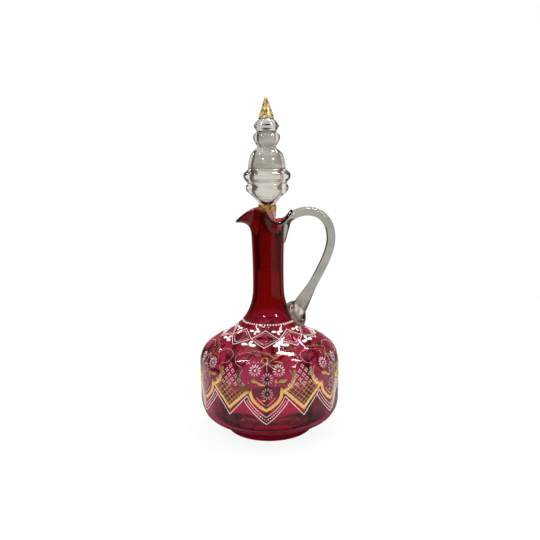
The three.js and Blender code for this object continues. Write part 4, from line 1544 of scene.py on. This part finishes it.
def gild_bows():
    gilt = Brushwork(BOW_RELIEF)
    for ribbon in bow_ribbons:
        gilt.strokes(at_panels(ribbon), RIBBON_LINE, smooth=24, taper=0.5)
    gilt.strokes(at_panels(bow_scroll), SCROLL_LINE, smooth=24, taper=0.5)
    for degrees, z in spaced(smooth_line(bow_scroll), CURL_SPACING):
        curl = [(degrees - 1, z), (degrees, z + 0.75), (degrees + 1, z), (degrees, z - 0.75)]
        gilt.strokes(at_panels(curl), CURL_LINE, smooth=10)
    return gilt.piece("bow_gilding", GOLD)


def paint_points():
    """White lines under the gilding: doubled under each panel, single under the lattice."""
    enamel = Brushwork(ENAMEL_RELIEF)
    lattice = smooth_line(chevron_lattice, 16)
    enamel.strokes(at_panels(smooth_line(chevron_outer), mirror=True), CHEVRON_OUTER_LINE)
    enamel.strokes(at_panels(smooth_line(chevron_inner), mirror=True), CHEVRON_INNER_LINE)
    enamel.strokes(at_panels(lattice), CHEVRON_LATTICE_LINE)
    enamel.strokes(at_panels(over_lattice(lattice)), CHEVRON_LATTICE_LINE)
    return enamel.piece("point_enamel", ENAMEL)


def paint_point_dots():
    marks = Marks()
    low = [(0, 27.5), (4.6, 31.4), (8.5, 35.3)]
    high = [(9.6, 36.5), (13, 40.8), (14.8, 43.8)]
    inside = [(0, 39.8), (3.1, 42.2), (5.1, 44.4), (6.8, 46.6)]
    marks.rows(at_panels(smooth_line(low), mirror=True), *LOW_DOTS)
    marks.rows(at_panels(smooth_line(high), mirror=True), *HIGH_DOTS)
    marks.rows(at_panels(inside, mirror=True), *INSIDE_DOTS)
    return marks.piece("point_enamel_dots", ENAMEL, Sides=8, Levels=5)


diamond_middle = Vector((0, 86.8))
diamond_upper = [(0, 91.9), (10, 89.4), (20, 86.5)]
diamond_lower = [(0, 81.7), (10, 84.2), (20, 86.5)]


def paint_diamonds():
    """Half a diamond at a time: its line, and the ticks that point inwards from it."""
    enamel = Brushwork(ENAMEL_RELIEF)
    for half in (diamond_upper, diamond_lower):
        line = smooth_line(half, 16)
        enamel.strokes(at_diamonds(line, mirror=True), DIAMOND_LINE)
        inset = [diamond_middle.lerp(spot, 0.8) for spot in line]
        for tick in spaced(inset, TICK_SPACING)[1:-1]:
            inward = (diamond_middle - tick) * Vector((0.08, 0.2))
            enamel.strokes(at_diamonds([tick, tick + inward], mirror=True), TICK_LINE)
    return enamel.piece("diamond_enamel", ENAMEL)


# Each petal of a trefoil: its middle to the right and up, its length, width and lean
TREFOIL = ((3.5, -0.3, 6.9, 3.1, -4), (-3.4, -0.2, 6.6, 3, 184), (1.1, 2.5, 4.4, 2.8, 66))

# The two rings of trefoils: their height, their scale, and 1 upright or -1 upside down
TREFOIL_RINGS = ((83.1, 1, 1), (91, 0.72, -1))


def paint_trefoils():
    marks = Marks()
    for copy in range(DIAMOND_COUNT):
        corner = DIAMOND_TURN + (copy + 0.5) * 360 / DIAMOND_COUNT
        for z, scale, way in TREFOIL_RINGS:
            for right, up, length, width, lean in TREFOIL:
                marks.petal(
                    corner, z, right * scale, up * way * scale,
                    length * scale, width * scale, TREFOIL_RELIEF * scale, lean * way,
                )
    return marks.piece("trefoil_enamel", ENAMEL, Sides=12, Levels=7, Taper=0.35)


def paint_beads():
    marks = Marks()
    for bead in range(BEAD_COUNT):
        marks.drop(bead * 360 / BEAD_COUNT, BEAD_HEIGHT, *BEAD_SIZE)
    return marks.piece("bead_enamel", ENAMEL, Sides=12, Levels=7)


# Each daisy of a panel: its place, and the width of its middle
DAISIES = ((-8.7, 68.4, 1.9), (10.2, 68.4, 1.9), (1.1, 62.1, 1.2), (1, 50, 1.2))
PETAL_COUNT = 12
PETAL_NEAR = 1.9
PETAL_FAR = 5


def paint_daisies():
    marks = Marks()
    middle = (PETAL_NEAR + PETAL_FAR) / 2
    for copy in range(PANEL_COUNT):
        for number, (degrees, z, across) in enumerate(DAISIES):
            degrees += copy * PANEL_TURN
            marks.dot(degrees, z, across, DAISY_MIDDLE_RELIEF)
            for petal in range(PETAL_COUNT):
                lean = petal * 360 / PETAL_COUNT + number * 7 + copy * 3
                marks.petal(
                    degrees, z,
                    math.cos(math.radians(lean)) * middle, math.sin(math.radians(lean)) * middle,
                    PETAL_FAR - PETAL_NEAR, 1.0, PETAL_RELIEF, lean,
                )
    return marks.piece("daisy_enamel", THIN_ENAMEL, Sides=8, Levels=5, Taper=0.45)


stems = [
    [(0.5, 73.6), (-2.4, 71.6), (-5.6, 69.6)],
    [(0.5, 73.6), (3.4, 71.6), (6.8, 69.6)],
    [(0.5, 73.6), (0.7, 70.5), (0.9, 67.4)],
]
side_lobe = [(17, 56.6), (19.4, 59.4), (20.5, 62.4), (20.1, 65.6), (18.7, 68.4)]


def paint_stems():
    enamel = Brushwork(STEM_RELIEF)
    for stem in stems:
        enamel.strokes(at_panels(stem), STEM_LINE, smooth=10)
    enamel.strokes(at_panels(side_lobe, mirror=True), LOBE_LINE, smooth=20)
    return enamel.piece("stem_enamel", THIN_ENAMEL)


panel_crown = [
    (20.4, 70.3), (25.1, 71.7), (27.5, 74), (28.2, 75.8),
    (26.6, 77.4), (22.5, 78.6), (18.4, 79.2),
]
panel_top = [(17.6, 79.1), (12.4, 78.6), (5.6, 77.6)]


def paint_outline():
    """A dotted line that closes each panel over its side lobes."""
    marks = Marks()
    marks.rows(at_panels(smooth_line(panel_crown, 30), mirror=True), *CROWN_DOTS)
    marks.rows(at_panels(panel_top, mirror=True), *TOP_DOTS)
    return marks.piece("outline_enamel", ENAMEL, Sides=8, Levels=5)


# The diamonds of four dots in the lattice's open top, from the middle between two panels
LATTICE_DIAMONDS = (
    (0, 69.8), (-3, 66.6), (3, 66.6), (-6, 63.3), (0, 63.3), (6, 63.3), (-3, 60), (3, 60),
    (-9, 60), (9, 60), (-6, 56.7), (0, 56.7), (6, 56.7), (-12, 56.7), (12, 56.7),
)
LATTICE_DOT = 0.85
DOT_REACH = 1.15


def paint_lattice_dots():
    marks = Marks()
    around = math.degrees(DOT_REACH / BELLY_RADIUS)
    corners = ((-around, 0), (around, 0), (0, -DOT_REACH), (0, DOT_REACH))
    for copy in range(PANEL_COUNT):
        turn = (copy + 0.5) * PANEL_TURN
        for degrees, z in LATTICE_DIAMONDS:
            for side, rise in corners:
                marks.dot(degrees + turn + side, z + rise, LATTICE_DOT)
    return marks.piece("lattice_enamel", ENAMEL, Sides=8, Levels=5)


# The body, the finish's slot and the CAD node of each group of pieces
riders = (
    ("vessel", "foot_glass", "foot", (press_foot,)),
    ("vessel", "ruby_glass", "ruby_body", (blow_body,)),
    ("vessel", "clear_glass", "handle", (draw_handle,)),
    ("vessel", "gilding", "gilt_panel_border", (
        gild_panels, gild_lattice, gild_leaves, gild_bows,
    )),
    ("vessel", "white_enamel", "enamel_point_border", (
        paint_points, paint_point_dots, paint_lattice_dots,
        paint_outline, paint_stems, paint_daisies,
    )),
    ("vessel", "white_enamel", "enamel_diamond_chain", (paint_diamonds, paint_trefoils)),
    ("vessel", "white_enamel", "enamel_bead_ring", (paint_beads,)),
    ("stopper", "clear_glass", "stopper", (turn_stopper,)),
    ("stopper", "gilding", "stopper_gilt_tip", (gild_tip,)),
    ("stopper", "gilding", "stopper_gilt_collar", (gild_collar,)),
)
for body, slot, node, makers in riders:
    for make in makers:
        piece = make()
        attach(piece, body)
        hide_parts(node)


# The table, the light and the camera

TABLE_RADIUS = 600
TABLE_CARD_RADIUS = 345
TABLE_SHADE_RADIUS = 150
ROOM_RADIUS = 1600
FLAG_STEPS = 24

# The table lies a little under the foot, with its cards just over it
TABLE_LEVEL = -0.2
TABLE_SHADE_LEVEL = -0.15
TABLE_CARD_LEVEL = -0.1

# Heights in metres between which the room's walls turn into its ceiling
CEILING_RISE = (1.15, 1.4)

TABLE_TONES = ((0.82, 0.82, 0.81), (0.86, 0.86, 0.85))
TABLE_CARD_TONES = ((0.66, 0.62, 0.57), (0.52, 0.48, 0.44))
# Painted shadow of the decanter near the middle of the table card
TABLE_CARD_PAINTED_SHADOW = (0.10, 0.03, 0.035)
SHADE_UNDER_FOOT = (0.95, 0.60, 0.76)
SHADE_ROUND_FOOT = (0.27, 0.12, 0.15)
SHADE_FAR = (0.88, 0.84, 0.83)
ROOM_LOW = (0.085, 0.070, 0.050)
ROOM_HIGH = (0.03, 0.024, 0.018)
CEILING_DIM = (0.12, 0.09, 0.08)
CEILING_GLARE = (1.1, 0.95, 0.98)
FLAG_BROWN = (0.10, 0.075, 0.05)

# Upright cards beside the decanter: their name, distance, first and last place round it,
# height and tone, and whether they are seen through the glass or mirrored in it
FLAGS = (
    ("left_flag", 820, -140, -52, 560, FLAG_BROWN, False),
    ("right_flag", 820, 52, 140, 560, FLAG_BROWN, False),
    ("left_screen", 810, -140, -52, 560, (0.16, 0.14, 0.12), True),
    ("right_screen", 810, 52, 140, 560, (0.62, 0.58, 0.54), True),
    ("left_edge_flag", 250, -142, -64, 190, (0.13, 0.09, 0.075), True),
    ("right_edge_flag", 250, 64, 142, 190, (0.30, 0.20, 0.19), True),
    ("dark_table_flag", 340, 132, 384, 120, (0.07, 0.055, 0.04), False),
    ("pale_table_flag", 340, 24, 132, 120, (0.46, 0.44, 0.42), False),
)

# White as the camera and the glass see it, and the light that the world gives
PLAIN = (1, 1, 1)
WORLD_LIGHT = (0.92, 0.92, 0.92)

# Lamps that face the decanter: their name, place and size in metres, how bright their face
# looks, and their tint
LAMPS = (
    ("window_lamp", (0.17, 0.225, 0.98), (0.40, 0.11), 40, PLAIN),
    ("strip_lamp_left", (-0.51, -0.125, 0.98), (0.30, 0.06), 30, PLAIN),
    ("strip_lamp_middle", (-0.17, -0.335, 0.98), (0.20, 0.05), 16, (1, 0.8, 0.9)),
    ("strip_lamp_right", (0.56, -0.06, 0.98), (0.30, 0.08), 30, PLAIN),
    ("left_lamp", (-0.62, 0.56, 0.66), (0.08, 0.04), 34, PLAIN),
    ("neck_lamp_left", (-0.36, -0.29, 0.84), (0.1, 0.04), 26, PLAIN),
    ("neck_lamp_middle", (-0.30, -0.64, 0.68), (0.17, 0.035), 22, PLAIN),
    ("neck_lamp_right", (0.6, -0.5, 0.66), (0.09, 0.11), 34, PLAIN),
    ("pink_lamp", (0.42, 0.5, 0.85), (0.07, 0.07), 34, (1, 0.45, 0.85)),
)
LAMP_AIM = Vector((0, 0, 0.08))


def seen_directly(finish):
    """1 for what the camera sees, straight, mirrored or through glass."""
    ways = ("Is Camera Ray", "Is Glossy Ray", "Is Transmission Ray")
    camera, glossy, through = (finish.node("ShaderNodeLightPath", output=way) for way in ways)
    return camera.reckon("MAXIMUM", camera, glossy.reckon("MAXIMUM", glossy, through))


def disc(sides, radius, z):
    faces = [(0, 1 + side, 1 + (side + 1) % sides) for side in range(sides)]
    return [(0, 0, z), *turned_ring(sides, radius, z)], faces


def lay_table():
    finish = Finish("pale_table")
    shade = finish.mix(finish.noise(6, 2), *TABLE_TONES)
    paint = finish.node("ShaderNodeBsdfDiffuse", inputs={"Color": shade})
    glow = finish.node("ShaderNodeEmission", inputs={"Color": PLAIN, "Strength": 1.0})
    share = seen_directly(finish) * 0.9
    surface = finish.node("ShaderNodeMixShader", inputs={0: share, 1: paint, 2: glow})
    top = disc(64, TABLE_RADIUS, TABLE_LEVEL)
    make_mesh("table", top, finish.end(Surface=surface))


def set_card(name, skin, look, through):
    """A card that glass shows, through itself or mirrored, and that nothing else sees."""
    card = make_mesh(name, skin, look)
    card.visible_camera = False
    card.visible_diffuse = False
    card.visible_shadow = False
    card.visible_transmission = through
    card.visible_glossy = not through


def lay_table_card():
    """A pale card on the table, seen only in mirrors, as toned as the photograph's table."""
    finish = Finish("table_card")
    shade = finish.mix(finish.noise(9, 2), *TABLE_CARD_TONES)
    # Near the middle, a painted shadow of the decanter
    shade = finish.mix(finish.reach().between(0.05, 0.11), TABLE_CARD_PAINTED_SHADOW, shade)
    card = disc(48, TABLE_CARD_RADIUS, TABLE_CARD_LEVEL)
    set_card("table_card", card, finish.glow(shade), through=False)


def lay_table_shade():
    """The rosy shade that ruby glass casts under itself, seen only through the glass."""
    finish = Finish("table_shade")
    reach = finish.reach()
    shade = finish.mix(reach.between(0.036, 0.048), SHADE_UNDER_FOOT, SHADE_ROUND_FOOT)
    shade = finish.mix(reach.between(0.07, 0.15), shade, SHADE_FAR)
    card = disc(48, TABLE_SHADE_RADIUS, TABLE_SHADE_LEVEL)
    set_card("table_shade", card, finish.glow(shade), through=True)


def hang_room_screen():
    """A dim warm screen round the table, which only polished surfaces mirror."""
    finish = Finish("dim_screen")
    glare = finish.noise(2.6, 2).between(0.38, 0.62)
    ceiling = finish.mix(glare, CEILING_DIM, CEILING_GLARE)
    tone = finish.mix(finish.rise(0.0, 1.2), ROOM_LOW, ROOM_HIGH)
    tone = finish.mix(finish.rise(*CEILING_RISE), tone, ceiling)
    turns = [math.radians(rise) for rise in range(-80, 81, 8)]
    rings = [
        turned_ring(48, ROOM_RADIUS * math.cos(turn), ROOM_RADIUS * math.sin(turn))
        for turn in turns
    ]
    skin = closed_rings((0, 0, -ROOM_RADIUS), rings, (0, 0, ROOM_RADIUS))
    set_card("dim_screen", skin, finish.glow(tone), through=False)


def stand_flag(name, radius, start, end, top, tone, through):
    finish = Finish(name)
    shade = finish.mix(finish.noise(4, 1), tone, [0.6 * part for part in tone])
    points = [
        on_round(blend(start, end, share), radius, z)
        for share in shares(FLAG_STEPS)
        for z in (0, top)
    ]
    faces = [(step, step + 2, step + 3, step + 1) for step in range(0, 2 * FLAG_STEPS, 2)]
    set_card(name, (points, faces), finish.glow(shade), through)


def hang_lamp(name, place, size, glow, tint):
    light = bpy.data.lights.new(name, "AREA")
    light.shape = "RECTANGLE"
    light.size, light.size_y = size
    light.energy = glow * math.pi * size[0] * size[1]
    light.color = tint
    lamp = add_object(name, light)
    lamp.location = place
    facing = (LAMP_AIM - Vector(place)).normalized()
    level = (Vector((1, 0, 0)) - facing * facing.x).normalized()
    lamp.rotation_euler = Matrix((level, level.cross(facing), -facing)).transposed().to_euler()
    lamp.visible_camera = False


def light_world():
    world = bpy.data.worlds.new("studio")
    bpy.context.scene.world = world
    finish = Finish("studio", world)
    shade = finish.mix(seen_directly(finish), WORLD_LIGHT, PLAIN)
    glow = finish.node("ShaderNodeBackground", inputs={"Color": shade, "Strength": 1.0})
    finish.node("ShaderNodeOutputWorld", inputs={"Surface": glow})


def set_camera():
    """The photograph's view: a little above the shoulder, turned slightly to the right."""
    distance, height = 0.5507, 0.2413
    around, pitch, roll = math.radians(2.9), math.radians(-10.65), math.radians(-0.72)
    aside = math.radians(0.156)
    focal_pixels, image_pixels, film = 663, 540, 36
    camera = add_object("camera", bpy.data.cameras.new("camera"))
    camera.data.sensor_width = film
    camera.data.lens = film * focal_pixels / image_pixels
    onward = Vector((0, math.cos(pitch), math.sin(pitch)))
    level = Vector((1, 0, 0))
    above = level.cross(onward)
    right = level * math.cos(roll) + above * math.sin(roll)
    up = above * math.cos(roll) - level * math.sin(roll)
    facing = Matrix((right, up, -onward)).transposed().to_4x4()
    turn = Matrix.Rotation(around - aside, 4, "Z")
    camera.matrix_world = Matrix.Translation((
        distance * math.sin(around), -distance * math.cos(around), height,
    )) @ turn @ facing
    bpy.context.scene.camera = camera


lay_table()
lay_table_card()
lay_table_shade()
hang_room_screen()
for flag in FLAGS:
    stand_flag(*flag)
light_world()
for lamp in LAMPS:
    hang_lamp(*lamp)
set_camera()
bpy.context.scene.view_settings.view_transform = "Standard"
